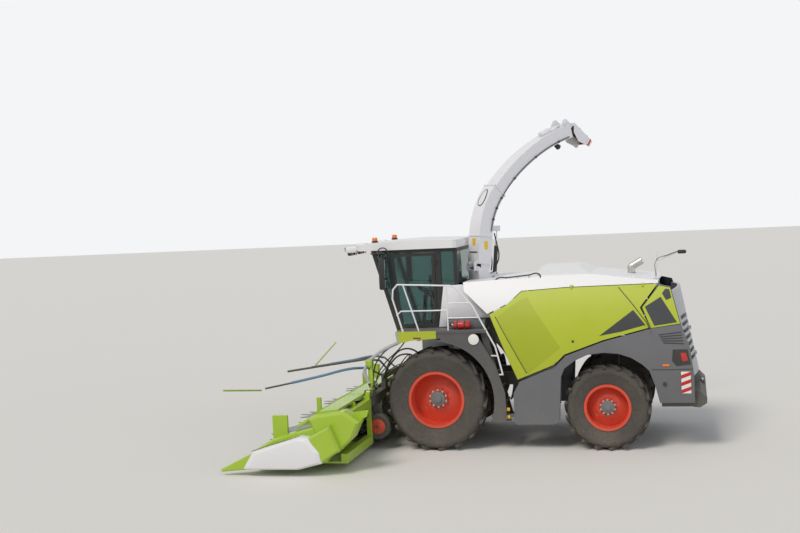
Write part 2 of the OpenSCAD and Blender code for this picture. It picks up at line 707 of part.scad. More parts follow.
module steering_console() color(BLACK) placed() {
    translate([520, 0, cab_floor_z + hair]) cylinder(h = 60, r = 90, $fn = 48);
    bar([520, 0, cab_floor_z + 40], [432, 0, cab_floor_z + 736], 38);
    translate([425, 0, cab_floor_z + 750]) rotate([0, -25, 0]) {
        rotate_extrude($fn = 96) translate([195, 0]) circle(r = 15, $fn = 24);
        for (i = [0 : 2]) rotate([0, 0, 120 * i]) translate([20, -14, -6]) cube([168, 28, 10]);
        translate([0, 0, -30]) cylinder(h = 45, r = 45, $fn = 48);
    }
    // Screen on the right armrest's post
    bar([430, -430, cab_floor_z + hair], [430, -430, cab_floor_z + 850], 20);
    block([410, -530, cab_floor_z + 800], [440, -330, cab_floor_z + 1040]);
}

// Platform, rails and ladder

deck_z = 2290;
deck_out = 1500;
bearer_z = 2100;

module platform() color(LIME) placed() {
    // Deck and its outer skirt
    block([-980, cab_half_w + 12, deck_z - 40], [730, deck_out - 1, deck_z]);
    side_plate([[730, deck_z - 39], [700, 2060], [430, 2115], [-60, 2150], [-60, deck_z - 39]],
        deck_out - 30, deck_out);
    // Step box at the front corner
    block([560, cab_half_w + 60, deck_z - 200], [700, deck_out - 29, deck_z - 39]);
    // Bearers to the cab floor
    for (x = [-300, 300]) {
        block([x - 30, rail_y + rail_w + hair, bearer_z], [x + 30, deck_out - 60, cab_floor_z - 70 - hair]);
        block([x - 30, cab_half_w + 12, bearer_z], [x + 30, deck_out - 60, deck_z - 39]);
    }
}

module handrails() color(PALE) placed() {
    y = deck_out - 17;
    foot = deck_z + hair;
    top = 3190;
    mid = 2680;
    post_x = -300;
    r = 16;
    thin_r = 13;
    tube_path([[585, y, foot + 10], [755, y, 2920], [740, y, 3090], [650, y, top], [-380, y, top - 50],
        [-470, y, 3100], [-780, y, 2750], [-1180, y, 1970], [-1300, y, 1450],
        [-1190, ladder_out_y + 40, 1440]], r);
    bar([585, y, foot], [585, y, foot + 40], r + 4);
    // Middle rail, leaning post and rear gate
    tube_path([[690, y, 2600], [600, y, mid], [post_x, y, mid]], thin_r);
    bar([540, y, top - 5], [270, y, foot + 4.5], thin_r + 1);
    bar([post_x, y, foot], [post_x, y, top - 46], thin_r + 1);
    for (rail = [[-745, 2810], [-880, 2530]]) bar([post_x, y, rail[1]], [rail[0], y, rail[1]], thin_r);
    // Bracket and foot on the ladder
    bar([-1190, ladder_out_y + 42, 1440], [-1190, ladder_out_y + hair, 1440], thin_r);
    bar([-1219, y, 1800], [-1095, ladder_out_y + 40, 1800], thin_r + 1);
    bar([-1095, ladder_out_y + 42, 1800], [-1095, ladder_out_y + hair, 1800], thin_r);
}

// Ladder: front edge of its stringers, which lean forward as they rise
ladder_out_y = 1405;
ladder_low_z = 560;
function ladder_front(z) = -1290 + 0.2377 * (z - ladder_low_z);

module ladder() color(DARK) placed() {
    top = deck_z - 40 - hair;
    for (y = [1000, ladder_out_y - 25]) side_plate([[ladder_front(top) - 125, top], [ladder_front(top), top],
        [ladder_front(ladder_low_z), ladder_low_z], [ladder_front(ladder_low_z) - 125, ladder_low_z]], y, y + 25);
    for (i = [0 : 5]) let (z = 640 + 285 * i)
        block([ladder_front(z) - 150, 1024, z], [ladder_front(z), ladder_out_y - 24, z + 30]);
}

// Fender over a front wheel: an arched plate with a side cheek
module front_fenders() color(GREY) placed() both_sides() {
    r_in = front_tyre_r + 150;
    r_out = r_in + 30;
    intersection() {
        translate([0, 0, front_axle_z]) rotate([90, 0, 0]) translate([0, 0, -deck_out]) difference() {
            cylinder(h = 620, r = r_out, $fn = 180);
            translate([0, 0, -1]) cylinder(h = 640, r = r_in, $fn = 180);
        }
        side_plate([[-60, 1900], [-60, 2250], [-1300, 2250], [-1300, 560], [-900, 560]], 800, 1600);
    }
    // Cheek: a sickle that widens towards the deck
    difference() {
        side_plate([[-60 - hair, deck_z - 40 - hair], [-790, deck_z - 40 - hair], [-900, 2100], [-1180, 1600],
            [-1330, 1100], [-1345, 560], [-1100, 560]], deck_out - 22, deck_out);
        translate([0, 0, front_axle_z]) rotate([90, 0, 0]) translate([0, 0, -1700])
            cylinder(h = 900, r = r_in, $fn = 180);
    }
    // Arm from the box behind the wheel
    block([box_front_x + hair, ladder_out_y + 8, 640], [-1050, body_half_w - 1, 700]);
}

module mirrors() color(BLACK) placed() both_sides() {
    arm_z = cab_roof_z - 50;
    bar([1235, cab_half_w + hair, arm_z], [1235, 1120, arm_z], 13);
    bar([1235 + 13, 1107, arm_z], [975, 1107, arm_z], 13);
    bar([985, 1107, arm_z], [985, 1107, 3600], 13);
    block([962, 1020, 3080], [1008, 1200, 3700]);
}

module roof_lamps() color("orange") placed() {
    both_sides() {
        translate([1240, 780, cab_roof_z + 154 + hair]) cylinder(h = 90, r = 50, $fn = 48);
        for (y = [200, 480]) translate([1800, y, cab_roof_z - 40]) rotate([0, 90, 0])
            cylinder(h = 70, r = 60, $fn = 48);
        for (y = [200, 480]) block([1800, y - 15, cab_roof_z - 10], [1850, y + 15, cab_roof_z + 22]);
    }
}

// Spout. Its pieces are drawn at the turret with the duct towards +X, then turned to the slew

module at_turret() placed() translate([-turret_back, 0, 0]) rotate([0, 0, 180 + spout_slew]) children();

module spout_turret() color(DARK) placed() translate([-turret_back, 0, 0]) difference() {
    union() {
        translate([0, 0, 2991]) cylinder(h = 60, r = 262, $fn = 96);
        translate([0, 0, 3050]) cylinder(h = 46 - hair, r = 235, $fn = 96);
    }
    translate([0, 0, 2980]) cylinder(h = 200, r = 205, $fn = 96);
}

// The spout's lift hinge lies behind the duct. Ears on the neck hold the duct's pin
hinge_r = -duct_d / 2 - 45;
hinge_pin_r = 14;

module spout_neck() color(PALE) at_turret() {
    half = duct_d / 2;
    difference() {
        translate([0, 0, 3096]) cylinder(h = 40, r = 245, $fn = 96);
        translate([0, 0, 3090]) cylinder(h = 60, r = 150, $fn = 96);
    }
    // The square neck, its top cut down towards the spout's side
    difference() {
        side_plate([[-half, 3135], [-half, lift_hinge_z - 35], [half, lift_hinge_z - 225], [half, 3135]],
            -duct_w / 2, duct_w / 2);
        block([-half + duct_t, -duct_w / 2 + duct_t, 3100], [half - duct_t, duct_w / 2 - duct_t, 3600]);
    }
    for (y = [-120, 100]) difference() {
        side_plate([[hinge_r - 35, lift_hinge_z - 120], [-half + 1, lift_hinge_z - 120], [-half + 1, lift_hinge_z - 40],
            [hinge_r + 27, lift_hinge_z - 20], [hinge_r + 27, lift_hinge_z + 25], [hinge_r - 35, lift_hinge_z + 25]],
            y, y + 20);
        translate([hinge_r, y - 5, lift_hinge_z]) rotate([-90, 0, 0])
            cylinder(h = 30, r = hinge_pin_r + 0.1, $fn = 48);
    }
    // Ears of the lift cylinder
    for (y = [-60, 40]) difference() {
        side_plate([[half - 1, 3145], [half - 1, 3222], [lift_foot[0] - 20, lift_foot[1] + 35],
            [lift_foot[0] + 35, lift_foot[1] + 35], [lift_foot[0] + 35, lift_foot[1] - 36],
            [half + 120, lift_foot[1] - 36], [half + 65, 3145]], y, y + 20);
        translate([lift_foot[0], y - 5, lift_foot[1]]) rotate([-90, 0, 0])
            cylinder(h = 30, r = lift_pin_r + 0.1, $fn = 48);
    }
}

// The duct's bends, given as [radius of the middle line, angle at the start, angle at the end]
straight_len = 560;
lower_bend = [1500, 84, 46];
upper_bend = [4300, 46, 14];
duct_up_d = 270;

function turn_end(p, bend) = let (r = bend[0], a = bend[1], b = bend[2])
    [p[0] + r * (sin(a) - sin(b)), p[1] + r * (cos(b) - cos(a))];
duct_start = [0, lift_hinge_z];
bend_start = [duct_start[0] + straight_len * cos(84), duct_start[1] + straight_len * sin(84)];
bend_mid = turn_end(bend_start, lower_bend);
bend_end = turn_end(bend_mid, upper_bend);

// A bend of the duct: its section turned about the bend's centre, below and ahead of the middle line
module duct_bend(start, bend, depth, open_side) {
    r = bend[0];
    a = bend[1];
    b = bend[2];
    centre = [start[0] + r * sin(a), start[1] - r * cos(a)];
    translate([centre[0], 0, centre[1]]) rotate([90, 0, 0]) rotate([0, 0, 90 + b])
        rotate_extrude(angle = a - b, $fn = 360) translate([r, 0]) difference() {
            square([depth, duct_w], center = true);
            translate([open_side ? -duct_t : 0, 0])
                square([depth - (open_side ? 0 : 2 * duct_t), duct_w - 2 * duct_t], center = true);
        }
}

// A flange that covers a seam. Its mouth stands a little inside the duct's walls
flange_lip = 3;
module duct_flange(at, angle, mouth) translate([at[0], 0, at[1]]) rotate([0, 90 - angle, 0]) difference() {
    d = mouth - 2 * duct_t - 2 * flange_lip;
    w = duct_w - 2 * duct_t - 2 * flange_lip;
    translate([-duct_d / 2 - 14, -duct_w / 2 - 14, -12]) cube([duct_d + 28, duct_w + 28, 24]);
    translate([-d / 2, -w / 2, -20]) cube([d, w, 40]);
}

module square_tube(d, w, t, z, h) difference() {
    translate([-d / 2, -w / 2, z]) cube([d, w, h]);
    translate([-d / 2 + t, -w / 2 + t, z - 1]) cube([d - 2 * t, w - 2 * t, h + 2]);
}

// Skirt inside the neck: its radius about the lift hinge, and its width
skirt_r = duct_d - 2 * duct_t + 49;
skirt_w = duct_w - 2 * duct_t - 12;
skirt_t = 8;

module spout_duct() color(PALE) at_turret() {
    // Straight foot, tipped to the first bend's start angle
    translate([duct_start[0], 0, duct_start[1]]) rotate([0, 90 - 84, 0]) {
        square_tube(duct_d, duct_w, duct_t, 0, straight_len);
        square_tube(duct_d - 2 * duct_t + 1, duct_w - 2 * duct_t + 1, 13.5, 20, 60);
    }
    // Skirt that slides inside the neck as the spout tips
    difference() {
        intersection() {
            translate([hinge_r, 0, lift_hinge_z]) rotate([90, 0, 0]) cylinder(h = skirt_w, r = skirt_r, center = true, $fn = 180);
            side_plate([[-90, lift_hinge_z + 60], [200, lift_hinge_z + 60], [200, lift_hinge_z - 276],
                [-90, lift_hinge_z - 81]], -skirt_w / 2, skirt_w / 2);
        }
        translate([hinge_r, 0, lift_hinge_z]) rotate([90, 0, 0])
            cylinder(h = skirt_w - 2 * skirt_t, r = skirt_r - skirt_t, center = true, $fn = 180);
    }
    duct_bend(bend_start, lower_bend, duct_d, false);
    duct_bend(bend_mid, upper_bend, duct_up_d, true);
    // Flanges round both ends of the lower bend
    duct_flange(bend_start, lower_bend[1], duct_d);
    duct_flange(bend_mid, lower_bend[2], duct_up_d);
    // Hinge pin and its two arms
    translate([hinge_r, 0, lift_hinge_z]) rotate([90, 0, 0])
        cylinder(h = 250, r = hinge_pin_r, center = true, $fn = 48);
    for (y = [-95, 70]) {
        block([hinge_r - 20, y, lift_hinge_z], [-duct_d / 2 + 20, y + 25, lift_hinge_z + 60]);
        translate([hinge_r, y + 25, lift_hinge_z]) rotate([90, 0, 0]) cylinder(h = 25, r = 22, $fn = 48);
    }
    // Ears for the lift cylinder's rod, with their pin
    for (y = [-60, 40]) block([duct_d / 2 + 10, y, lift_eye[1] - 60], [lift_eye[0] + 30, y + 20, lift_eye[1] + 50]);
    translate([lift_eye[0], 0, lift_eye[1]]) rotate([90, 0, 0]) cylinder(h = 120, r = 12, center = true, $fn = 48);
    // Ears for the flap's pin at the duct's end
    for (y = [-150, 125]) difference() {
        union() {
            translate([flap_hinge[0], y + 25, flap_hinge[1]]) rotate([90, 0, 0]) cylinder(h = 25, r = 26, $fn = 48);
            side_plate([[bend_end[0] - 60, bend_end[1] + 60], [bend_end[0] - 60, bend_end[1] + duct_up_d / 2 - 25],
                [flap_hinge[0], flap_hinge[1] + 26], [flap_hinge[0], flap_hinge[1] - 26],
                [bend_end[0], bend_end[1] + 60]], y, y + 25);
        }
        translate([flap_hinge[0], y + 30, flap_hinge[1]]) rotate([90, 0, 0])
            cylinder(h = 35, r = hinge_pin_r + 0.1, $fn = 48);
    }
}

lift_foot = [duct_d / 2 + 215, lift_hinge_z - 215];
lift_eye = [duct_d / 2 + 330, 4140];
lift_vec = lift_eye - lift_foot;
lift_len = norm(lift_vec);
lift_tip = atan2(lift_vec[0], lift_vec[1]);
lift_pin_r = 16;
barrel_len = 535;

module spout_lift_barrel() color(DARK) at_turret()
    translate([lift_foot[0], 0, lift_foot[1]]) rotate([0, lift_tip, 0]) {
        rotate([90, 0, 0]) cylinder(h = 120, r = lift_pin_r, center = true, $fn = 48);
        difference() {
            union() {
                rotate([90, 0, 0]) cylinder(h = 70, r = 34, center = true, $fn = 48);
                translate([0, 0, 20]) cylinder(h = barrel_len, r = 40, $fn = 48);
            }
            translate([0, 0, 60]) cylinder(h = barrel_len, r = 22.1, $fn = 48);
        }
    }

module spout_lift_rod() color(STEEL) at_turret()
    translate([lift_foot[0], 0, lift_foot[1]]) rotate([0, lift_tip, 0]) {
        translate([0, 0, 380]) cylinder(h = lift_len - 410, r = 22, $fn = 48);
        translate([0, 0, lift_len]) rotate([90, 0, 0]) difference() {
            cylinder(h = 70, r = 42, center = true, $fn = 48);
            cylinder(h = 90, r = 26, center = true, $fn = 48);
        }
    }

// The deflector at the duct's end, hinged at the top wall's end
flap_hinge = [bend_end[0] + 60, bend_end[1] + duct_up_d / 2 - 10];

module spout_flap() color(PALE) at_turret() translate([flap_hinge[0], 0, flap_hinge[1]]) rotate([0, 38, 0]) {
    block([-10, -duct_w / 2 - 20, 34], [620, duct_w / 2 + 20, 46]);
    for (y = [-duct_w / 2 - 20, duct_w / 2 + 8]) side_plate([[-22, -22], [-22, 46], [620, 46], [620, -100],
        [300, -200], [90, -120], [22, -22]], y, y + 12);
    rotate([90, 0, 0]) cylinder(h = duct_w + 40, r = hinge_pin_r, center = true, $fn = 48);
}

// Header and intake. They are drawn as parked, with the dividers just off the ground

intake_front_x = 1180;

module intake_housing() color(LIME) placed() {
    side_plate([[feeder_pivot_x + 30, 620], [feeder_pivot_x + 30, 1000], [feeder_pivot_x + 100, 1250],
        [620, 1340], [intake_front_x, 1150], [intake_front_x, 330], [900, 330]], -rail_y + 12, rail_y - 12);
    // Pivot arms with their trunnion pins
    both_sides() {
        block([feeder_pivot_x - 45, rail_y - 36, feeder_pivot_z - 45],
            [feeder_pivot_x + 120, rail_y - 11, feeder_pivot_z + 45]);
        translate([feeder_pivot_x, rail_y - 12, feeder_pivot_z]) rotate([-90, 0, 0])
            cylinder(h = 40, r = 30, $fn = 48);
    }
}

beam_x = 1330;
pan_z = 150;
pan_t = 30;
pan_end_x = 2900;
notch_x = 2680;
// Fold hinges of the wings: axis along X
fold_y = centre_half_w + 7.5;
fold_z = 1140;
fold_r = 20;
rotor_ys = [-2380, -760, 760, 2380];
rotor_low_z = 190;
wheel_pos = [1180, 1380, 460];
guide_r = 18;

module rotor_boss(y) translate([rotor_x, y, pan_z + pan_t - 1])
    cylinder(h = rotor_low_z - hair - pan_z - pan_t + 1, r = 140, $fn = 48);

module header_frame() color(DARK) placed() {
    // Rear beams, low and high, with uprights either side of the intake
    block([beam_x - 100, -centre_half_w + 20, 880], [beam_x + 60, centre_half_w - 20, 1060]);
    block([beam_x - 60, -1180, pan_z], [beam_x + 60, 1180, 320]);
    both_sides() {
        block([beam_x - 100, rail_y - 8, 200], [beam_x - 20, 560, 1340]);
        block([beam_x - 60, 1100, 200], [beam_x + 20, 1180, 1000]);
        // Ears of the lift rods, with the pin that the rod's eye sits on
        for (y = [lift_y - 60, lift_y + 36]) block([header_eye.x - 45, y, header_eye.y - 45],
            [beam_x - 59, y + 24, header_eye.y + 45]);
        translate([header_eye.x, lift_y - 60, header_eye.y]) rotate([-90, 0, 0])
            cylinder(h = 120, r = 16, $fn = 48);
        // Arm and stub axle of the support wheel
        block([wheel_pos.x - 50, wheel_pos.y - 140, wheel_pos.z - 45],
            [wheel_pos.x + 130, wheel_pos.y - 100, 881]);
        translate([wheel_pos.x, wheel_pos.y - 120, wheel_pos.z]) rotate([-90, 0, 0])
            cylinder(h = 210, r = 25, $fn = 48);
        // Ears of the wing's fold hinge
        for (x = [1240, 1360]) difference() {
            block([x, centre_half_w - 100, 1059], [x + 30, fold_y + 32, fold_z + 32]);
            translate([x - 5, fold_y, fold_z]) rotate([0, 90, 0]) cylinder(h = 40, r = fold_r + 0.1, $fn = 48);
        }
        // Brackets under the deck's hood
        for (y = [300, 1250]) block([beam_x + 59, y, 980], [beam_x + 110, y + 40, 1080 + hair]);
    }
    // Top beam and the crop guide bars that reach forward from it
    block([beam_x - 100, -560, 1240], [beam_x - 20, 560, 1340]);
    tube_path([[beam_x - 60, 0, 1300], [1480, 0, 1540], [1770, 0, 1570], [2750, 0, 1440],
        [front_reach - 60, 0, 1335]], guide_r + 4);
    both_sides() tube_path([[beam_x - 60, 530, 1300], [1560, 700, 1500], [1830, 900, 1510],
        [2400, 1100, 1400], [3000, 1310, 1290], [front_reach - 100, 1440, 1215]], guide_r);
    // Joining plate on the intake's mouth
    block([intake_front_x + hair, -rail_y + 12, 900], [beam_x - 99, rail_y - 12, 1050]);
    // Floor pan under the rotors, notched for the dividers
    difference() {
        block([beam_x, -centre_half_w + 20, pan_z], [pan_end_x, centre_half_w - 20, pan_z + pan_t]);
        block([notch_x, -100, pan_z - 10], [pan_end_x + 10, 100, pan_z + pan_t + 10]);
    }
    for (y = [rotor_ys[1], rotor_ys[2]]) rotor_boss(y);
}

// Hood over the rotors' rear half, between y0 and y1
module rotor_hood(y0, y1)
    side_plate([[1400, 1084.7], [1400, 1125], [1760, 1085], [2250, 760], [2250, 735], [1740, 1050]], y0, y1);

// A pointed divider along X at y, half width h
module divider(y, h) hull() {
    translate([front_reach - 94, y, 110]) sphere(r = 34, $fn = 24);
    for (s = [-1, 1]) {
        translate([2760, y + s * (h - 30), 130]) sphere(r = 30, $fn = 24);
        translate([2350, y + s * (h - 30), 720]) sphere(r = 30, $fn = 24);
        translate([2760, y + s * (h - 30), 480]) sphere(r = 30, $fn = 24);
    }
}

module centre_deck() color(LIME_BRIGHT) placed() {
    rotor_hood(-centre_half_w + 20, centre_half_w - 20);
    divider(0, 80);
    side_plate([[1800, 1070], [1800, 900], [2420, 700], [2420, 760]], -60, 60);
}

// A folding wing: beams, pan, hood, its inner divider and the closed end cover
module wing(side) color(LIME_BRIGHT) placed() mirror([0, side > 0 ? 0 : 1, 0]) {
    inner = centre_half_w + 15;
    block([beam_x - 60, inner, 880], [beam_x + 60, 3200, 1020]);
    block([beam_x - 60, inner, pan_z], [beam_x + 60, 3200, 320]);
    block([beam_x - 60, inner + 20, 319], [beam_x + 20, inner + 100, 881]);
    difference() {
        block([beam_x, inner, pan_z], [pan_end_x, 3200, pan_z + pan_t]);
        block([notch_x, inner - 10, pan_z - 10], [pan_end_x + 10, inner + 180, pan_z + pan_t + 10]);
    }
    rotor_boss(rotor_ys[3]);
    rotor_hood(inner, 3200);
    for (y = [inner + 60, 2300, 3000]) block([beam_x + 20, y, 1019], [1440, y + 40, 1090]);
    divider(inner + 85, 75);
    side_plate([[1800, 1070], [1800, 900], [2420, 700], [2420, 760]], inner + 45, inner + 125);
    // Fold hinge: knuckle, its arm and the pin that turns in the centre's ears
    translate([1240, fold_y, fold_z]) rotate([0, 90, 0]) cylinder(h = 150, r = fold_r, $fn = 48);
    translate([1275, fold_y, fold_z]) rotate([0, 90, 0]) cylinder(h = 80, r = 34, $fn = 48);
    block([1275, fold_y, fold_z - 34], [1355, inner + 100, fold_z]);
    block([1275, inner + 20, 1019], [1355, inner + 100, fold_z]);
    end_covers();
    // Post boxes on the inner cover and on the inner divider
    difference() {
        block([2370, 3130, 500], [2650, 3215, 1015]);
        block([2360, 3125, 560], [2400, 3150, 1020]);
    }
    block([2250, inner + 50, 700], [2330, inner + 120, 1060]);
    // Guide bar over the wing, on a stay from the inner divider
    tube_path([[2380, inner + 85, 700], [3290, inner + 125, 1190], [front_reach - 110, inner + 185, 1225],
        [front_reach - 60, 3400, 1510]], guide_r);
}

// Outlines of the covers that close a wing's end, from its nose back to the fin
nose_cover = [[3080, 150], [2890, 440], [2540, 550], [2010, 710], [1850, 690], [1640, 440],
    [1610, 250], [2040, 140], [3020, 130]];
inner_cover = [[3020, 150], [2960, 420], [2610, 620], [1860, 830], [1600, 900], [1600, 200], [2860, 150]];
side_cover = [[1862, 690], [1650, 790], [1460, 900], [1280, 470], [1620, 240], [1650, 440]];
rear_cover = [[1900, 1000], [1760, 1050], [1240, 1122], [1110, 1040], [960, 930], [1100, 640], [1370, 390],
    [1600, 300], [1700, 700]];

// A cover from y0 out to y1, its edge drawn in towards a middle point over its last stretch
module cover(outline, y0, y1, middle, keep) hull() {
    side_plate(outline, y0, y1 - 60);
    side_plate([for (p = outline) middle + (p - middle) * keep], y1 - 61, y1);
}

module end_covers() {
    cover(nose_cover, 3400, header_half_w, [2250, 370], 0.84);
    cover(inner_cover, 3150, 3420, [2300, 420], 0.9);
    cover(side_cover, 3380, header_half_w - 40, [1570, 560], 0.86);
    cover(rear_cover, 3120, header_half_w - 230, [1400, 760], 0.88);
    hull() {
        translate([front_reach - 30, 3560, 95]) sphere(r = 30, $fn = 24);
        side_plate([[3000, 140], [2900, 420], [2860, 140]], 3440, 3620);
    }
    side_plate([[1240, 1118], [1130, 1060], [850, 1105], [880, 990], [1040, 920], [1200, 900]], 3150, 3190);
}

// A rotor: knife disc, drum and three rings of hooked teeth. Rings are given as [height, radius]
tooth_rings = [[240, rotor_r], [400, rotor_r - 40], [560, rotor_r - 110]];

module rotor(i) color(STEEL) placed() translate([rotor_x, rotor_ys[i], 0]) {
    translate([0, 0, rotor_low_z]) cylinder(h = 14, r = rotor_r - 60, $fn = 96);
    translate([0, 0, rotor_low_z + 10]) cylinder(h = 420, r1 = 420, r2 = 330, $fn = 96);
    for (ring = tooth_rings) translate([0, 0, ring[0]]) linear_extrude(12) union() {
        circle(r = ring[1] - 170, $fn = 96);
        for (k = [0 : tooth_count - 1]) rotate([0, 0, 360 / tooth_count * k])
            polygon([[ring[1] - 190, -50], [ring[1] - 6, -12], [ring[1] - 2, 8], [ring[1] - 190, 50]]);
    }
}

// A support wheel on its stub axle, its tyre rounded at the shoulders
module support_wheel(side) color(RUBBER) placed()
    translate([wheel_pos.x, side * wheel_pos.y, wheel_pos.z]) rotate([90, 0, 0]) rotate_extrude($fn = 96) {
        translate([25.1, -60]) square([100, 120]);
        translate([60, -15]) square([110, 30]);
        hull() for (v = [-55, 55]) {
            translate([215, v]) circle(r = 35, $fn = 48);
            translate([160, v]) circle(r = 20, $fn = 48);
        }
    }

module at_header_lift()
    translate([header_foot.x, lift_y, header_foot.y]) rotate([0, lift_pitch, 0]) children();

module lift_barrels() color(DARK) placed() both_sides() at_header_lift() {
    rotate([90, 0, 0]) cylinder(h = 110, r = 25, center = true, $fn = 48);
    difference() {
        union() {
            rotate([90, 0, 0]) cylinder(h = 58, r = 45, center = true, $fn = 48);
            block([0, -28, -34], [70, 28, 34]);
            translate([62, 0, 0]) rotate([0, 90, 0]) cylinder(h = 558, r = 50, $fn = 48);
        }
        translate([90, 0, 0]) rotate([0, 90, 0]) cylinder(h = 700, r = 32.1, $fn = 48);
    }
}

// The header's lift cylinders: rod eye on the header, foot under the frame, both as [x, z]
lift_y = rail_y + rail_w / 2;
header_eye = [1165, 420];
header_foot = [200, 600];
lift_pitch = atan2(header_foot[1] - header_eye[1], header_eye[0] - header_foot[0]);
header_lift_len = norm(header_eye - header_foot);

module lift_rods() color(STEEL) placed() both_sides() at_header_lift() {
    translate([header_lift_len - 590, 0, 0]) rotate([0, 90, 0]) cylinder(h = 555, r = 32, $fn = 48);
    translate([header_lift_len, 0, 0]) rotate([90, 0, 0]) difference() {
        cylinder(h = 60, r = 42, center = true, $fn = 48);
        cylinder(h = 80, r = 26, center = true, $fn = 48);
    }
}

chassis_frame();
crop_channel();
front_axle();
rear_axle();
engine_block();
cab_floor();
cab_frame();
cab_roof();
cab_glass();
operator_seat();
steering_console();
platform();
handrails();
ladder();
front_fenders();
hood_top();
lower_sides();
rear_grilles();
rear_bumper();
exhaust_stack();
camera_mast();
mirrors();
roof_lamps();
spout_turret();
cab_door();
door_glass();
side_panel(1);  // side_panel_left
side_panel(-1);  // side_panel_right
tail_door();
tyre_front(1);  // tyre_front_left
rim_front(1);  // rim_front_left
tyre_front(-1);  // tyre_front_right
rim_front(-1);  // rim_front_right
tyre_rear(1);  // tyre_rear_left
rim_rear(1);  // rim_rear_left
tyre_rear(-1);  // tyre_rear_right
rim_rear(-1);  // rim_rear_right
knuckle(1);  // knuckle_left
knuckle(-1);  // knuckle_right
spout_neck();
spout_duct();
spout_flap();
spout_lift_barrel();
spout_lift_rod();
intake_housing();
header_frame();
centre_deck();
lift_barrels();
lift_rods();
wing(1);  // wing_left
wing(-1);  // wing_right
support_wheel(1);  // support_wheel_left
support_wheel(-1);  // support_wheel_right
rotor(0);  // rotor_1
rotor(1);  // rotor_2
rotor(2);  // rotor_3
rotor(3);  // rotor_4
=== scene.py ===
# %% [markdown]
# # A forage harvester, dressed for its portrait
# The machine's solids come from the CAD source, already in their place. Here they get their finishes
# and the small things that a solid model leaves out: bolts, hoses, lamps, latches and stripes.

# %% The frame
import bpy
import json
import math
from mathutils import Matrix, Vector


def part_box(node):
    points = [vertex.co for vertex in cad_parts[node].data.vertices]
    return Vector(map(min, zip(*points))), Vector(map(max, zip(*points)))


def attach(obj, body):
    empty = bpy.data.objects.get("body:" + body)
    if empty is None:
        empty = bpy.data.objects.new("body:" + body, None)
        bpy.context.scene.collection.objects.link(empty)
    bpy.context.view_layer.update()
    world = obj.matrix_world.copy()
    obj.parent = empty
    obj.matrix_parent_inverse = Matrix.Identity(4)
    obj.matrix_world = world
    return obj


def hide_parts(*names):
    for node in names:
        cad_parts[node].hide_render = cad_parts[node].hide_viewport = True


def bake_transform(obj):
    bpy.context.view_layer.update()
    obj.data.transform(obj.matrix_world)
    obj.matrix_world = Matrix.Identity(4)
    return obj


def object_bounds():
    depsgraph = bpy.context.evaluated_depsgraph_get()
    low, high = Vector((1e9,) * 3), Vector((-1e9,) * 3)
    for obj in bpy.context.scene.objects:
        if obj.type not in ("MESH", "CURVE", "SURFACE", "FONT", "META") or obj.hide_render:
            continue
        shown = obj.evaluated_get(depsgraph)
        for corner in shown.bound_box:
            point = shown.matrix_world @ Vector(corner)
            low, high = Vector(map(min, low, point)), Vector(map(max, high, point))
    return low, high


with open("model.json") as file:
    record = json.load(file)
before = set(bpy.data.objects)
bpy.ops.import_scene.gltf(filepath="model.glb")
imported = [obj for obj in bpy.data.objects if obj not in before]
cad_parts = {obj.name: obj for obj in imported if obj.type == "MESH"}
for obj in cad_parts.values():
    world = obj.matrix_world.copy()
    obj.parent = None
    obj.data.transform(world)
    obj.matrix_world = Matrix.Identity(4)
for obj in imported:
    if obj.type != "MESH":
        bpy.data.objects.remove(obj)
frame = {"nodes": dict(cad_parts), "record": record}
cad_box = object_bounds()
bpy.ops.object.select_all(action="DESELECT")
print("CAD box", [round(v, 3) for v in (*cad_box[0], *cad_box[1])], "with", len(frame["nodes"]), "nodes")

# %% [markdown]
# ## The camera
# The photograph was taken from the machine's left, a little ahead of its middle, from about five metres
# above the ground and far away, which keeps the long body almost undistorted. The camera's place
# was found by fitting the wheels, the cab and the ends of the header. It is put there first,
# so that every piece after it can be looked at from the same spot.

# %% The camera's place and turn
CAMERA_AT = Vector((-4.0484, 22.4067, 4.6829))
CAMERA_YAW, CAMERA_PITCH, CAMERA_ROLL = 0.2496, 0.0531, -0.0491
FOCAL_PIXELS, PHOTO_WIDTH, SENSOR_MM = 1140.0, 800, 36
up = Vector((0, 0, 1))
level = Vector((math.sin(CAMERA_YAW), -math.cos(CAMERA_YAW), 0))
side = Vector((-math.cos(CAMERA_YAW), -math.sin(CAMERA_YAW), 0))
ahead = level * math.cos(CAMERA_PITCH) - up * math.sin(CAMERA_PITCH)
above = up * math.cos(CAMERA_PITCH) + level * math.sin(CAMERA_PITCH)
right = side * math.cos(CAMERA_ROLL) + above * math.sin(CAMERA_ROLL)
top = above * math.cos(CAMERA_ROLL) - side * math.sin(CAMERA_ROLL)

camera_data = bpy.data.cameras.new("photo_camera")
camera_data.sensor_width = SENSOR_MM
camera_data.lens = FOCAL_PIXELS / PHOTO_WIDTH * SENSOR_MM
camera_data.clip_start, camera_data.clip_end = 0.5, 400
camera = bpy.data.objects.new("photo_camera", camera_data)
bpy.context.scene.collection.objects.link(camera)
camera.matrix_world = Matrix.Translation(CAMERA_AT) @ Matrix((right, top, -ahead)).transposed().to_4x4()
bpy.context.scene.camera = camera
print("camera", [round(v, 2) for v in CAMERA_AT], "lens", round(camera_data.lens, 2), "mm")

# %% [markdown]
# ## The studio
# A plain pale floor and soft light from two suns with wide discs, because a large machine
# under small lamps would show hard black shadows. The sun of the photograph stands high on the
# machine's left, so the stronger sun is there. The background is white for the camera, for reflections
# and through glass. To everything else it is a dimmer, cooler sky that fills the shadows.

# %% Colours and nodes
def linear(hex_colour):
    """An sRGB hex colour as the linear values that a shader works with."""
    parts = [int(hex_colour[i:i + 2], 16) / 255 for i in (1, 3, 5)]
    return tuple(c / 12.92 if c <= 0.04045 else ((c + 0.055) / 1.055) ** 2.4 for c in parts) + (1.0,)


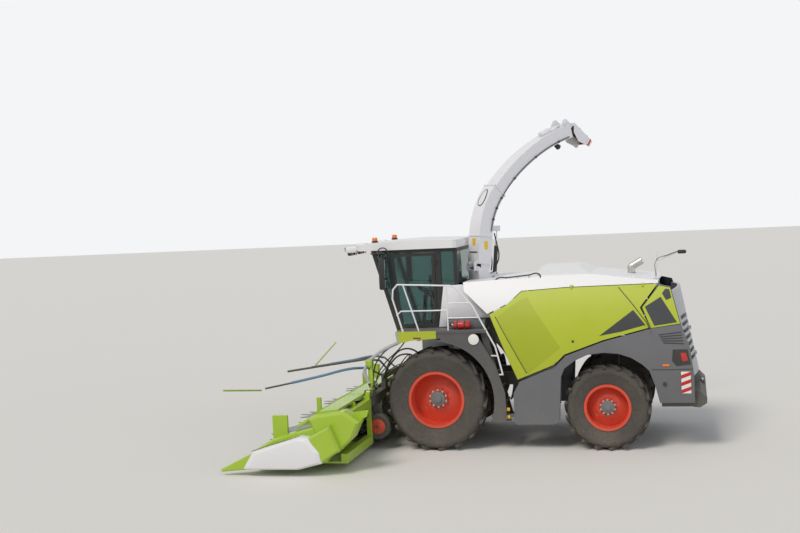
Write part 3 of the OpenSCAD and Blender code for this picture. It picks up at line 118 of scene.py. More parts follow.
def add(tree, kind, settings=None, **links):
    """Adds one node. Settings are its own properties. Links are values or other nodes' outputs for its
    inputs, named, or numbered as in i0 where several inputs share a name."""
    node = tree.nodes.new(kind)
    for name, value in (settings or {}).items():
        setattr(node, name, value)
    for name, value in links.items():
        numbered = name[0] == "i" and name[1:].isdigit()
        socket = node.inputs[int(name[1:]) if numbered else name]
        if isinstance(value, bpy.types.NodeSocket):
            tree.links.new(value, socket)
        else:
            socket.default_value = value
    return node


print("the floor's colour", [round(v, 3) for v in linear("#E6E4E0")])

# %% World and floor
SKY, BACKDROP, FLOOR = ("#E6EBF2", 0.42), ("#F4F5F7", 1.0), "#E6E4E0"
FLOOR_SIZE, BELOW_TYRES = 240, 0.002
world = bpy.data.worlds.new("studio")
bpy.context.scene.world = world
world.use_nodes = True
tree = world.node_tree
tree.nodes.clear()
path = add(tree, "ShaderNodeLightPath")
seen = path.outputs["Is Camera Ray"]
for ray in ("Is Glossy Ray", "Is Transmission Ray"):
    seen = add(tree, "ShaderNodeMath", {"operation": "MAXIMUM"}, i0=seen, i1=path.outputs[ray]).outputs[0]
dim, white = (add(tree, "ShaderNodeBackground", Color=linear(colour), Strength=strength).outputs[0]
              for colour, strength in (SKY, BACKDROP))
mixed = add(tree, "ShaderNodeMixShader", i0=seen, i1=dim, i2=white)
add(tree, "ShaderNodeOutputWorld", Surface=mixed.outputs[0])

bpy.ops.mesh.primitive_plane_add(size=FLOOR_SIZE, location=(0, 0, cad_box[0].z - BELOW_TYRES))
floor = bpy.context.object
floor.name = "floor"
bpy.ops.object.transform_apply(location=True, rotation=True, scale=True)
paper = bpy.data.materials.new("pale studio floor")
paper.use_nodes = True
shader = paper.node_tree.nodes["Principled BSDF"]
shader.inputs["Base Color"].default_value = linear(FLOOR)
shader.inputs["Roughness"].default_value = 0.9
floor.data.materials.append(paper)
print("floor at", round(floor.data.vertices[0].co.z, 3))

# %% Lamps
def soft_sun(name, comes_from, strength, spread, colour):
    """A sun whose disc is spread degrees wide, so that its shadows have soft edges."""
    data = bpy.data.lights.new(name, "SUN")
    data.energy, data.angle, data.color = strength, math.radians(spread), linear(colour)[:3]
    lamp = bpy.data.objects.new(name, data)
    bpy.context.scene.collection.objects.link(lamp)
    lamp.rotation_mode = "QUATERNION"
    lamp.rotation_quaternion = Vector(comes_from).to_track_quat("Z", "Y")


soft_sun("key", (0.35, 0.75, 0.95), 1.7, 22, "#FFF8EE")
soft_sun("fill", (-0.8, 0.5, 0.35), 0.55, 60, "#EEF3FF")
bpy.context.scene.view_settings.view_transform = "Standard"

# %% [markdown]
# ## Painted sheet metal and moulded panels
# Most of the machine is steel sheet with two coats of baked enamel, or plastic mouldings dyed in the
# same colours. Fresh enamel gives a clear highlight over an even colour. A working machine also wears a
# thin veil of field dust, thicker near the ground and in soft patches, which dulls the highlight. So
# each finish is one shader, whose colour and roughness are driven by two noises and by the height above
# the ground.

# %% Parts that every finish uses
WAVE_GRAINS = 6  # a fine noise shows grains of about a sixth of its longest wave


def new_finish(name):
    """A new material: itself, its node tree, its shader and the place that its noises follow."""
    material = bpy.data.materials.new(name)
    material.use_nodes = True
    tree = material.node_tree
    return material, tree, tree.nodes["Principled BSDF"], add(tree, "ShaderNodeTexCoord").outputs["Object"]


def noise(tree, place, scale, detail, roughness=0.5):
    """A cloudy pattern. The larger the scale, the smaller its clouds."""
    return add(tree, "ShaderNodeTexNoise", Vector=place, Scale=scale, Detail=detail,
               Roughness=roughness).outputs[0]


def product(tree, first, second, clamp=False):
    """Two values multiplied, and kept within 0 and 1 by clamp."""
    return add(tree, "ShaderNodeMath", {"operation": "MULTIPLY", "use_clamp": clamp}, i0=first,
               i1=second).outputs[0]


def ranged(tree, value, low, high, new_low, new_high):
    """A value moved from one range to another."""
    return add(tree, "ShaderNodeMapRange", i0=value, i1=low, i2=high, i3=new_low, i4=new_high).outputs[0]


def mix(tree, share, first, second):
    """Two colours mixed. A share of 0 shows the first one."""
    return add(tree, "ShaderNodeMix", {"data_type": "RGBA"}, i0=share, i6=first, i7=second).outputs[2]


def drive(tree, shader, inputs):
    """Connects each named input of a shader with its pattern."""
    for name, value in inputs.items():
        tree.links.new(value, shader.inputs[name])


print("a grain of 2 mm has a scale of", round(1000 / (2 * WAVE_GRAINS), 1))

# %% A dusty finish
DUST = "#938A7A"
DUST_TOP, DUST_UP_THERE = 3.2, 0.16  # the height where the veil is thinnest, and how much of it is left


def dusty(name, colour, roughness, coat=0.0, metallic=0.0, dust=0.25, grain_mm=1.2, grain=0.06, shift=0.10):
    """Enamel, moulded plastic or cast metal under a veil of dust. Its surface has grains of grain_mm."""
    material, tree, shader, place = new_finish(name)
    clouds, specks = noise(tree, place, 1.7, 5.0, 0.62), noise(tree, place, 23.0, 6.0, 0.7)
    height = add(tree, "ShaderNodeSeparateXYZ", Vector=place).outputs["Z"]
    low = ranged(tree, height, 0.0, DUST_TOP, 1.0, DUST_UP_THERE)
    veil = product(tree, product(tree, clouds, specks), low)
    veil = product(tree, veil, dust * 4, clamp=True)
    darker, lighter = ((*(min(1.0, c * share) for c in linear(colour)[:3]), 1.0)
                       for share in (1 - shift, 1 + shift))
    tone = mix(tree, clouds, darker, lighter)
    grit = noise(tree, place, 1000 / (grain_mm * WAVE_GRAINS), 2.0)
    bump = add(tree, "ShaderNodeBump", Strength=grain, Distance=grain_mm / 1000, Height=grit)
    drive(tree, shader, {"Base Color": mix(tree, veil, tone, linear(DUST)),
                         "Roughness": ranged(tree, veil, 0.0, 0.6, roughness, min(1.0, roughness + 0.4)),
                         "Normal": bump.outputs[0]})
    shader.inputs["Metallic"].default_value = metallic
    shader.inputs["Coat Weight"].default_value = coat
    shader.inputs["Coat Roughness"].default_value = 0.12
    return material


def enamel(name, colour, roughness, coat, dust, shift=0.08):
    """Baked enamel over sheet steel: even and glossy under its clear coat."""
    return dusty(name, colour, roughness, coat=coat, dust=dust, grain_mm=2.0, grain=0.03, shift=shift)


pale_enamel = enamel("baked enamel, cool white", "#E6E6EA", 0.38, 0.35, 0.10, shift=0.03)
lime_enamel = enamel("baked enamel, lime", "#AEBB18", 0.36, 0.4, 0.12)
header_enamel = enamel("baked enamel, bright lime", "#A4C618", 0.36, 0.4, 0.14)
rim_enamel = dusty("rim enamel, orange red", "#E23A10", 0.42, coat=0.2, dust=0.22, grain_mm=2.0, grain=0.05)
# Plain chassis enamel, sprayed on thick and never polished
frame_enamel = dusty("chassis enamel, charcoal", "#3A3B3E", 0.55, dust=0.30, grain_mm=3.0, grain=0.10)
cast_iron = dusty("cast iron, painted grey", "#55575A", 0.65, dust=0.35, grain_mm=4.0, grain=0.3)


def moulding(name, colour, roughness, dust, grain=0.15, shift=0.10):
    """Plastic dyed through, with the fine grain of its mould."""
    return dusty(name, colour, roughness, dust=dust, grain_mm=1.5, grain=grain, shift=shift)


grey_moulding = moulding("moulded body panel, slate grey", "#63656B", 0.50, 0.16, grain=0.12, shift=0.05)
fender_moulding = moulding("moulded fender, dark grey", "#4C4D50", 0.58, 0.25)
lime_moulding = moulding("moulded panel, lime", "#AFBC1C", 0.42, 0.12, grain=0.06, shift=0.08)
pale_moulding = moulding("moulded roof, white", "#E8E8EA", 0.40, 0.08, grain=0.05, shift=0.03)
black_moulding = moulding("moulded trim, black", "#1C1D1F", 0.50, 0.14)
silver_moulding = dusty("moulded trim, silver grey", "#A9ADB2", 0.35, metallic=0.3, dust=0.12)
smoke_sheet = dusty("smoked plastic sheet", "#22292D", 0.12, coat=0.5, dust=0.12, shift=0.05)
print("finishes so far", len(bpy.data.materials))

# %% [markdown]
# ## Rubber, bare metal, glass and cloth
# Tyre rubber is a matt black that greys with age and holds dust between its lugs. Bare metals are left
# in only a few places: the chromed rods, the exhaust and the cutting rotors, whose steel is brushed
# by the crop. The cab's glass is tinted, so it is dark from outside.

# %% Rubber
tyre_rubber = dusty("tyre rubber, aged", "#333132", 0.78, dust=0.26, grain_mm=3.0, grain=0.35, shift=0.12)
hose_rubber = dusty("hose rubber, new", "#141416", 0.45, dust=0.10, grain_mm=1.0, grain=0.1)
print("rubbers", tyre_rubber.name, "and", hose_rubber.name)

# %% Bare metals
SCRATCH_MM, SCRATCH_DEEP = 1.5, 0.0004


def bare_metal(name, colour, roughness, stretch=(1, 1, 1), stain="#5A4A3C", stained=0.2):
    """A bare metal. stretch draws its scratches out along one axis, stained is how strong its spots are."""
    material, tree, shader, place = new_finish(name)
    drawn = add(tree, "ShaderNodeMapping", Vector=place, Scale=stretch).outputs[0]
    scratches = noise(tree, drawn, 1000 / (SCRATCH_MM * WAVE_GRAINS), 4.0)
    spots = ranged(tree, noise(tree, place, 5.0, 4.0), 0.48, 0.8, 0.0, stained)
    bump = add(tree, "ShaderNodeBump", Strength=0.08, Distance=SCRATCH_DEEP, Height=scratches)
    rough = ranged(tree, scratches, 0.3, 0.7, roughness * 0.7, min(1.0, roughness * 1.4))
    drive(tree, shader, {"Base Color": mix(tree, spots, linear(colour), linear(stain)), "Roughness": rough,
                         "Normal": bump.outputs[0]})
    shader.inputs["Metallic"].default_value = 1.0
    return material


worn_steel = bare_metal("rolled steel, worn by crop", "#8F9092", 0.42, stretch=(1, 1, 6))
exhaust_steel = bare_metal("stainless exhaust steel, heat stained", "#C9C7C2", 0.22, stain="#8A6A48",
                           stained=0.35)
hard_chrome = bare_metal("hard chrome rod", "#DDDEE0", 0.10, stretch=(4, 1, 1), stained=0.0)
zinc = bare_metal("zinc plated fastener", "#B9BAB6", 0.34, stained=0.12)
mirror_glass = bare_metal("silvered mirror glass", "#E9ECEE", 0.04, stained=0.0)
print("finishes with the metals", len(bpy.data.materials))

# %% Glass, lamps and cloth
def glassy(name, colour, roughness=0.02):
    """Glass or a clear lens. Its faint smears show only in the reflections."""
    material, tree, shader, place = new_finish(name)
    shader.inputs["Base Color"].default_value = linear(colour)
    shader.inputs["IOR"].default_value = 1.5
    shader.inputs["Transmission Weight"].default_value = 1.0
    film = noise(tree, place, 2.2, 6.0)
    drive(tree, shader, {"Roughness": ranged(tree, film, 0.4, 0.75, roughness, roughness + 0.10)})
    return material


tinted_glass = glassy("tinted cab glass", "#7DA09E")
clear_lens = glassy("clear lamp lens", "#F2F4F4", 0.05)
amber_lens = dusty("amber lamp lens", "#F07A12", 0.18, coat=0.5, dust=0.05)
red_lens = dusty("red lamp lens", "#C01812", 0.18, coat=0.5, dust=0.05)
seat_cloth = dusty("woven seat cloth, charcoal", "#2B2C30", 0.9, dust=0.12, grain_mm=1.6, grain=0.5)
print("finishes", len(bpy.data.materials))

# %% [markdown]
# Each CAD node already has a slot named for its material. The finish goes into that slot, and the
# mesh stays as it is.

# %% Finishes on the CAD nodes
FINISH = {
    "frame_paint": frame_enamel, "engine_casting": cast_iron, "pale_paint": pale_enamel,
    "cab_black": black_moulding, "pale_plastic": pale_moulding, "tinted_glass": tinted_glass,
    "seat_fabric": seat_cloth, "cab_plastic": black_moulding, "lime_paint": lime_enamel,
    "rail_paint": pale_enamel, "grey_plastic": grey_moulding, "smoke_panel": smoke_sheet,
    "exhaust_steel": exhaust_steel, "lamp_amber": amber_lens, "lime_plastic": lime_moulding,
    "silver_plastic": silver_moulding, "rod_chrome": hard_chrome, "header_lime": header_enamel,
    "tyre_rubber": tyre_rubber, "rim_paint": rim_enamel, "rotor_steel": worn_steel,
}
OWN_FINISH = {"front_fenders": fender_moulding, "roof_lamps": clear_lens}
slot_of = {part["node"]: part["material_slot"] for part in frame["record"]["subparts"]}
for name, node in frame["nodes"].items():
    finish = OWN_FINISH.get(name) or FINISH[slot_of[name]]
    for slot in node.material_slots:
        slot.material = finish
print("finished nodes", len(frame["nodes"]))

# %% [markdown]
# ## Tools for the added pieces
# Every added piece starts as one of Blender's primitives or curves. A few short functions cover most of
# them: a block, a rod, a disc across the machine, a plate cut to a side outline, and a hose that
# follows a few points. Each ends with the same steps: its place goes into its mesh, it gets its finish,
# and it rides on the body that carries it. Places are in metres from the middle of the front axle, as
# the machine's own drawing gives them, so `at` moves them into the frame.

# %% Places
FRONT_AXLE_X = sum(corner.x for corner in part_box("tyre_front_left")) / 2
SIDES = (("left", 1), ("right", -1))


def at(x, y, z):
    """A place on the machine, x from the front axle, y to the left and z from the ground."""
    return Vector((x + FRONT_AXLE_X, y, z))


def mirrored(places, side):
    """Places on the machine's left as they are, where side is 1, and in the mirror, where it is -1."""
    return [(x, y * side, z) for x, y, z in places]


def middle_of(node):
    """The middle of a CAD node's box, as a place on the machine."""
    low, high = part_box(node)
    return (low.x + high.x) / 2 - FRONT_AXLE_X, (low.y + high.y) / 2, (low.z + high.z) / 2


def turn_about(place, angle, axis="Y"):
    """The turn about an axis through a place in the frame."""
    return Matrix.Translation(place) @ Matrix.Rotation(angle, 4, axis) @ Matrix.Translation(-place)


def round_axle(x, z, count):
    """The turns that copy one piece into a ring of count round an axle."""
    return [turn_about(at(x, 0, z), 2 * math.pi * i / count) for i in range(1, count)]


print("front axle at x", round(FRONT_AXLE_X, 3))

# %% Selecting, editing and finishing
def pick(pieces):
    """Selects only these pieces. The first one is the active one."""
    bpy.ops.object.select_all(action="DESELECT")
    for piece in pieces:
        piece.select_set(True)
    bpy.context.view_layer.objects.active = pieces[0]


def edit(*steps):
    """Opens the active mesh, all of it selected, and runs steps that are a tool and its settings."""
    bpy.ops.object.mode_set(mode="EDIT")
    bpy.ops.mesh.select_all(action="SELECT")
    for tool, settings in steps:
        tool(**settings)
    bpy.ops.object.mode_set(mode="OBJECT")


def draw_out(distance):
    """The step that extrudes what is selected to the machine's left, or to its right where it is negative."""
    return bpy.ops.mesh.extrude_region_move, {"TRANSFORM_OT_translate": {"value": (0, distance, 0)}}


def bevel_edges(offset, segments=2):
    """Rounds all edges of the active mesh."""
    edit((bpy.ops.mesh.bevel, {"offset": offset, "segments": segments, "affect": "EDGES"}))


def done(piece, name, material, body, smooth=35):
    """Names a shaped piece, puts its place into its mesh and lets it ride on its body."""
    pick([piece])
    bpy.ops.object.transform_apply(location=True, rotation=True, scale=True)
    edit((bpy.ops.mesh.normals_make_consistent, {"inside": False}))
    bpy.ops.object.shade_smooth_by_angle(angle=math.radians(smooth))
    piece.data.materials.clear()
    piece.data.materials.append(material)
    piece.name = name
    if body:
        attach(piece, body)
    return piece


def joined(name, pieces):
    """Like pieces on one body become one piece."""
    pick(pieces)
    bpy.ops.object.join()
    bpy.context.object.name = name
    return bpy.context.object


def copies(name, piece, moves, body="chassis"):
    """A piece joined with its copies, each moved or turned by one of the matrices."""
    made = [piece]
    for move in moves:
        copy = piece.copy()
        copy.data = piece.data.copy()
        copy.data.transform(move)
        bpy.context.scene.collection.objects.link(copy)
        made.append(copy)
    whole = joined(name, made)
    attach(whole, body)
    return whole


# %% Blocks, rods, plates and hoses
def block(name, low, high, material, body="chassis", edge=0.004):
    """A box between two corners, with its edges rounded by edge metres."""
    low, high = at(*low), at(*high)
    bpy.ops.mesh.primitive_cube_add(size=1, location=(low + high) / 2)
    piece = bpy.context.object
    piece.scale = [abs(v) for v in (high - low)]
    bpy.ops.object.transform_apply(location=False, rotation=False, scale=True)
    if edge:
        bevel_edges(edge)
    return done(piece, name, material, body)


def rod(name, start, end, radius, material, body="chassis", edge=0.0, sides=24, far_radius=None):
    """A round bar, disc or, with far_radius, a cone between two places. Only its two rims are rounded."""
    start, end = at(*start), at(*end)
    bpy.ops.mesh.primitive_cone_add(vertices=sides, radius1=radius, radius2=far_radius or radius,
                                    depth=(end - start).length, location=(start + end) / 2)
    piece = bpy.context.object
    piece.rotation_mode = "QUATERNION"
    piece.rotation_quaternion = (end - start).to_track_quat("Z", "Y")
    bpy.ops.object.transform_apply(location=False, rotation=True, scale=True)
    if edge:
        edit((bpy.ops.mesh.select_all, {"action": "DESELECT"}),
             (bpy.ops.mesh.select_mode, {"type": "FACE"}),
             (bpy.ops.mesh.select_face_by_sides, {"number": sides}),
             (bpy.ops.mesh.region_to_loop, {}),
             (bpy.ops.mesh.bevel, {"offset": edge, "segments": 2, "affect": "EDGES"}))
    return done(piece, name, material, body)


def disc(name, x, z, y0, y1, radius, material, body="chassis", edge=0.0, sides=24):
    """A round piece whose axis lies across the machine, from y0 to y1."""
    return rod(name, (x, y0, z), (x, y1, z), radius, material, body, edge, sides)


def outline_face(outline, y):
    """A flat face at y with a side outline of (x, z) points."""
    bpy.ops.mesh.primitive_circle_add(vertices=len(outline), fill_type="NGON")
    piece = bpy.context.object
    for vertex, (x, z) in zip(piece.data.vertices, outline):
        vertex.co = at(x, y, z)
    return piece


def plate(name, outline, y0, y1, material, body="chassis", edge=0.0):
    """A side outline of (x, z) points, filled at y0 and drawn out to y1."""
    piece = outline_face(outline, y0)
    edit(draw_out(y1 - y0))
    if edge:
        bevel_edges(edge)
    return done(piece, name, material, body)


def hose(name, points, radius, material, body="chassis"):
    """A smooth tube through a few places, closed at both ends."""
    curve = bpy.data.curves.new(name, "CURVE")
    curve.dimensions, curve.bevel_depth, curve.bevel_resolution, curve.use_fill_caps = "3D", radius, 3, True
    line = curve.splines.new("BEZIER")
    line.bezier_points.add(len(points) - 1)
    for knot, place in zip(line.bezier_points, points):
        knot.co = at(*place)
        knot.handle_left_type = knot.handle_right_type = "AUTO"
    piece = bpy.data.objects.new(name, curve)
    bpy.context.scene.collection.objects.link(piece)
    pick([piece])
    bpy.ops.object.convert(target="MESH")
    return done(bpy.context.object, name, material, body)


print("tools ready for", ", ".join(tool.__name__ for tool in (block, rod, disc, plate, hose)))

# %% [markdown]
# ## Wheels
# Each rim carries a grey hub in a ring of ten nuts, and the nuts are bright because their plating stays
# clean. One nut is modelled on its stud, then copied round the hub. The valve stands in the dish
# between the hub and the rim.

# %% Hubs, nuts and valves
hub_grey = dusty("hub casting, painted grey", "#6E7274", 0.5, dust=0.2)
NUTS_A_WHEEL = 10
WHEELS = {
    # end: radius of the hub, of the ring of nuts and of a nut, and y of the rim's face
    "front": (0.137, 0.160, 0.024, 1.265),
    "rear": (0.118, 0.134, 0.021, 1.26),
}


def wheel_fittings(end, side_name, side):
    """Hub, ring of nuts on their studs and tyre valve of one wheel."""
    hub_r, ring_r, nut_r, face = WHEELS[end]
    node, body = f"rim_{end}_{side_name}", f"wheel_{end}_{side_name}"
    x, _, z = middle_of(node)
    low, high = (face - 0.03) * side, (face + 0.048) * side
    disc(f"hub_cap_{node}", x, z, low, high, hub_r, hub_grey, body, 0.012, 48)
    disc(f"hub_boss_{node}", x, z, (face + 0.0468) * side, (face + 0.078) * side, hub_r * 0.55, hub_grey,
         body, 0.01, 32)
    nut = disc(f"nut_{node}", x, z + ring_r, (face - 0.01) * side, (face + 0.0312) * side, nut_r, zinc, body,
               0.004, 6)
    stud = disc(f"stud_{node}", x, z + ring_r, face * side, high, nut_r * 0.5, zinc, body, sides=16)
    nuts = joined(f"wheel_nuts_{node}", [nut, stud])
    copies(f"wheel_nuts_{node}", nuts, round_axle(x, z, NUTS_A_WHEEL), body)
    disc(f"valve_{node}", x + ring_r * 1.5, z - ring_r, low, (face + 0.05) * side, 0.012, worn_steel, body,
         sides=12)


for side_name, side in SIDES:
    for end in WHEELS:
        wheel_fittings(end, side_name, side)

# %% [markdown]
# The two support wheels of the header are small cast wheels with a red disc on each face, held by five
# nuts.

# %% Support wheels of the header
DISC_R, HUB_R, NUT_R, NUT_RING_R, NUTS_A_DISC = 0.150, 0.045, 0.010, 0.085, 5
for side_name, side in SIDES:
    node = f"support_wheel_{side_name}"
    x, y, z = middle_of(node)
    for i, out in enumerate((-1, 1)):
        rim = (y + 0.050 * out, y + 0.066 * out)
        hub, bolt = (y + 0.062 * out, y + 0.082 * out), (y + 0.062 * out, y + 0.076 * out)
        disc(f"small_rim_{side_name}_{i}", x, z, *rim, DISC_R, rim_enamel, node, 0.006, 48)
        disc(f"small_hub_{side_name}_{i}", x, z, *hub, HUB_R, rim_enamel, node, 0.006, 32)
        nut = disc(f"small_nuts_{side_name}_{i}", x, z + NUT_RING_R, *bolt, NUT_R, zinc, node, sides=6)
        copies(f"small_nuts_{side_name}_{i}", nut, round_axle(x, z, NUTS_A_DISC), node)
print("support wheels done")

# %% [markdown]
# ## The cab
# The roof's brow carries round work lamps, and an amber beacon stands on each side. A lamp is a black
# bowl behind a clear lens with a bright reflector in it, which is what makes it read as a lamp. The
# roof's gutters, the wiper and the door's handle are thin black pieces that draw the cab's lines.

# %% Lamps on the roof
reflector = bare_metal("lamp reflector", "#F2F3F4", 0.08, stained=0.0)
LAMP_LAYERS = [
    # name, start and end in metres ahead of the lamp's rim, share of its radius, finish, rounded edge
    ("ring", -0.006, 0.012, 1.06, black_moulding, 0.004),
    ("bright", 0.010, 0.014, 0.88, reflector, 0.0),
    ("lens", 0.0145, 0.022, 0.90, clear_lens, 0.003),
]


def work_lamp(name, centre, aim, radius, depth):
    """A round lamp whose lens looks along aim."""
    rim, aim = Vector(centre), Vector(aim).normalized()
    rod(f"{name}_bowl", rim - aim * depth, rim, radius * 0.6, black_moulding, sides=32, far_radius=radius)
    for layer, start, end, share, material, edge in LAMP_LAYERS:
        rod(f"{name}_{layer}", rim + aim * start, rim + aim * end, radius * share, material, edge=edge,
            sides=32)


for i, y in enumerate((0.48, 0.2, -0.2, -0.48)):
    work_lamp(f"brow_lamp_{i}", (1.875, y, 3.79), (1, 0, -0.15), 0.058, 0.05)
BEACON_FOOT, BEACON_MID, BEACON_TOP = 3.985, 4.012, 4.086
for side_name, side in SIDES:
    y = 0.78 * side
    rod(f"beacon_base_{side_name}", (1.24, y, BEACON_FOOT), (1.24, y, BEACON_MID), 0.066, black_moulding,
        edge=0.006, sides=32)
    rod(f"beacon_{side_name}", (1.24, y, BEACON_MID), (1.24, y, BEACON_TOP), 0.056, amber_lens,
        edge=0.016, sides=32, far_radius=0.050)
    work_lamp(f"corner_lamp_{side_name}", (1.53, y * 1.02, 3.865), (0.8, 0.5 * side, -0.3), 0.062, 0.08)
    work_lamp(f"rear_lamp_{side_name}", (-0.40, y, 3.74), (-1, 0, -0.2), 0.055, 0.05)

# %% [markdown]
# Behind the cab stands a white service panel whose front edge leans like the cab's own pillar. Under it, on
# the platform, lie a grey locker and the red fire extinguisher in its two straps. The platform is only on
# the machine's left, and so are they.

# %% Behind the cab
red_enamel = dusty("extinguisher enamel, signal red", "#C8141A", 0.3, coat=0.4, dust=0.08)
tread_metal = dusty("chequer plate, grey", "#6A6C6E", 0.5, dust=0.3, grain_mm=12.0, grain=0.6)
SERVICE_PANEL = [(-0.13, 3.10), (-0.50, 3.12), (-0.57, 3.02), (-1.02, 2.54), (-1.02, 2.47), (-0.19, 2.47),
                 (-0.16, 2.31), (-0.01, 2.31)]
for side_name, side in SIDES:
    plate(f"service_panel_{side_name}", SERVICE_PANEL, 0.925 * side, 0.955 * side, pale_enamel, edge=0.006)
block("locker", (-0.96, 0.96, 2.30), (-0.22, 1.22, 2.455), grey_moulding, edge=0.012)
block("deck_tread", (-0.97, 0.93, 2.290), (0.70, 1.46, 2.294), tread_metal, edge=0)
block("deck_edge", (-1.02, 1.497, 2.235), (-0.065, 1.506, 2.296), fender_moulding, edge=0.003)

BOTTLE_Y, BOTTLE_Z, DECK_Z = 1.34, 2.385, 2.293
rod("extinguisher", (-0.70, BOTTLE_Y, BOTTLE_Z), (-0.38, BOTTLE_Y, BOTTLE_Z), 0.072, red_enamel,
    edge=0.022, sides=40)
rod("extinguisher_neck", (-0.38, BOTTLE_Y, BOTTLE_Z), (-0.34, BOTTLE_Y, BOTTLE_Z), 0.022, zinc, sides=20)
block("extinguisher_valve", (-0.345, BOTTLE_Y - 0.016, BOTTLE_Z - 0.016),
      (-0.30, BOTTLE_Y + 0.016, BOTTLE_Z + 0.030), black_moulding)
for i, x in enumerate((-0.61, -0.47)):
    rod(f"extinguisher_strap_{i}", (x, BOTTLE_Y, BOTTLE_Z), (x + 0.022, BOTTLE_Y, BOTTLE_Z), 0.0755,
        black_moulding, edge=0.002, sides=40)
    block(f"extinguisher_cradle_{i}", (x - 0.005, BOTTLE_Y - 0.05, DECK_Z),
          (x + 0.027, BOTTLE_Y + 0.05, BOTTLE_Z - 0.05), black_moulding)
print("platform pieces done")

# %% Gutters, wiper and handle
GUTTER = [(1.29, 0.905, 3.822), (0.4, 0.905, 3.826), (-0.40, 0.905, 3.822)]
for side_name, side in SIDES:
    hose(f"roof_gutter_{side_name}", mirrored(GUTTER, side), 0.010, black_moulding)
block("door_handle", (0.10, 0.935, 2.92), (0.24, 0.965, 2.955), black_moulding, "cab_door", edge=0.008)
block("door_lock", (0.09, 0.93, 2.88), (0.14, 0.955, 3.0), black_moulding, "cab_door", edge=0.006)
hose("wiper_arm", [(1.36, 0.15, 3.70), (1.20, 0.25, 3.30), (1.07, 0.35, 2.95)], 0.009, black_moulding)
hose("wiper_blade", [(1.24, 0.34, 3.42), (1.13, 0.34, 3.10), (1.0, 0.34, 2.75)], 0.010, black_moulding)
print("cab's lines done")

# %% [markdown]
# ## Front of the cab
# Each mirror is a moulded housing on the cab's arm, with a tall and a wide glass in its back and a
# small round lamp in a black hoop above it. White lamp pods stand on the front corners of the roof.
# The platform's skirt begins with a pale corner piece and has a small blank plate.

# %% Mirrors, pods and skirt
CAB_PAIRS = [
    # name, two corners on the left, finish, rounded edge
    ("mirror_glass", (0.9575, 1.032, 3.30), (0.9625, 1.188, 3.67), mirror_glass, 0.001),
    ("mirror_wide", (0.9575, 1.032, 3.11), (0.9625, 1.188, 3.27), mirror_glass, 0.001),
    ("mirror_housing", (0.966, 1.015, 3.075), (1.085, 1.205, 3.705), black_moulding, 0.032),
    ("roof_pod", (1.60, 0.66, 3.80), (1.84, 0.84, 3.925), pale_moulding, 0.03),
    ("roof_pod_high", (1.40, 0.66, 3.90), (1.62, 0.84, 3.985), pale_moulding, 0.03),
    ("pod_arm", (1.55, 0.67, 3.84), (1.66, 0.73, 3.90), pale_moulding, 0.01),
]
HOOP_Y = 1.10
HOOP = [(1.137, HOOP_Y, 3.66), (1.11, HOOP_Y, 3.82), (1.00, HOOP_Y, 3.885), (0.91, HOOP_Y, 3.82),
        (0.892, HOOP_Y, 3.66), (0.97, HOOP_Y, 3.62)]
for side_name, side in SIDES:
    for name, low, high, material, edge in CAB_PAIRS:
        block(f"{name}_{side_name}", *mirrored((low, high), side), material, edge=edge)
    hose(f"lamp_hoop_{side_name}", mirrored(HOOP, side), 0.011, black_moulding)
    work_lamp(f"hoop_lamp_{side_name}", (1.105, HOOP_Y * side, 3.77), (0.8, 0.55 * side, -0.25), 0.052, 0.09)
    rod(f"hoop_lamp_foot_{side_name}", *mirrored(((1.03, HOOP_Y, 3.69), (1.05, HOOP_Y, 3.76)), side), 0.012,
        black_moulding, sides=16)
    work_lamp(f"pod_lamp_{side_name}", (1.845, 0.75 * side, 3.862), (1, 0.1 * side, -0.15), 0.05, 0.05)
blank_red = dusty("blank plate, dark red", "#7A2A1E", 0.4, dust=0.2)
SKIRT_CORNER = [(0.728, 2.285), (0.700, 2.062), (0.672, 2.066), (0.680, 2.285)]
SKIRT_PLATE = [(0.235, 2.142), (0.235, 2.172), (0.385, 2.180), (0.385, 2.148)]
plate("skirt_corner", SKIRT_CORNER, 1.499, 1.504, silver_moulding)
plate("skirt_plate", SKIRT_PLATE, 1.499, 1.503, blank_red)
print("cab front done")

# %% [markdown]
# ## Side panels
# The lime panel is one moulding. Its front part is folded into a facet that faces down, and the facet's
# shade is painted on as a darker lime sheet. A seam runs along the panel's front edge and another near
# the tail, and a black handle and two latches hold it shut. The plain dark triangle near the tail is a
# sheet of dark film. These pieces lie on the
# body's curved flank. So each starts as a flat outline cut into a grid, a shrinkwrap projects the grid
# sideways to a few millimetres over the flank, and a solidify gives it its thickness.

# %% Pieces that follow the flank
BESIDE_FLANK, SHEET_THICK = 1.9, 0.003


def laid(name, outline, node, material, side, body="chassis", lift=0.004, cells=10):
    """A thin sheet with the given side outline, laid on the outside of a CAD node."""
    piece = outline_face(outline, BESIDE_FLANK * side)
    places = [vertex.co for vertex in piece.data.vertices]
    low, high = (Vector((end(v.x for v in places), 0, end(v.z for v in places))) for end in (min, max))
    bpy.ops.object.mode_set(mode="EDIT")
    for normal in ((1, 0, 0), (0, 0, 1)):
        for i in range(1, cells):
            bpy.ops.mesh.select_all(action="SELECT")
            bpy.ops.mesh.bisect(plane_co=low.lerp(high, i / cells), plane_no=normal)
    bpy.ops.object.mode_set(mode="OBJECT")
    wrap = piece.modifiers.new("wrap", "SHRINKWRAP")
    wrap.target, wrap.wrap_method, wrap.offset = frame["nodes"][node], "PROJECT", lift
    wrap.use_project_x = wrap.use_project_z = False
    wrap.use_project_y = wrap.use_positive_direction = wrap.use_negative_direction = True
    bpy.ops.object.modifier_apply(modifier="wrap")
    thick = piece.modifiers.new("thick", "SOLIDIFY")
    thick.thickness, thick.offset = SHEET_THICK, 0
    bpy.ops.object.modifier_apply(modifier="thick")
    return done(piece, name, material, body, smooth=25)


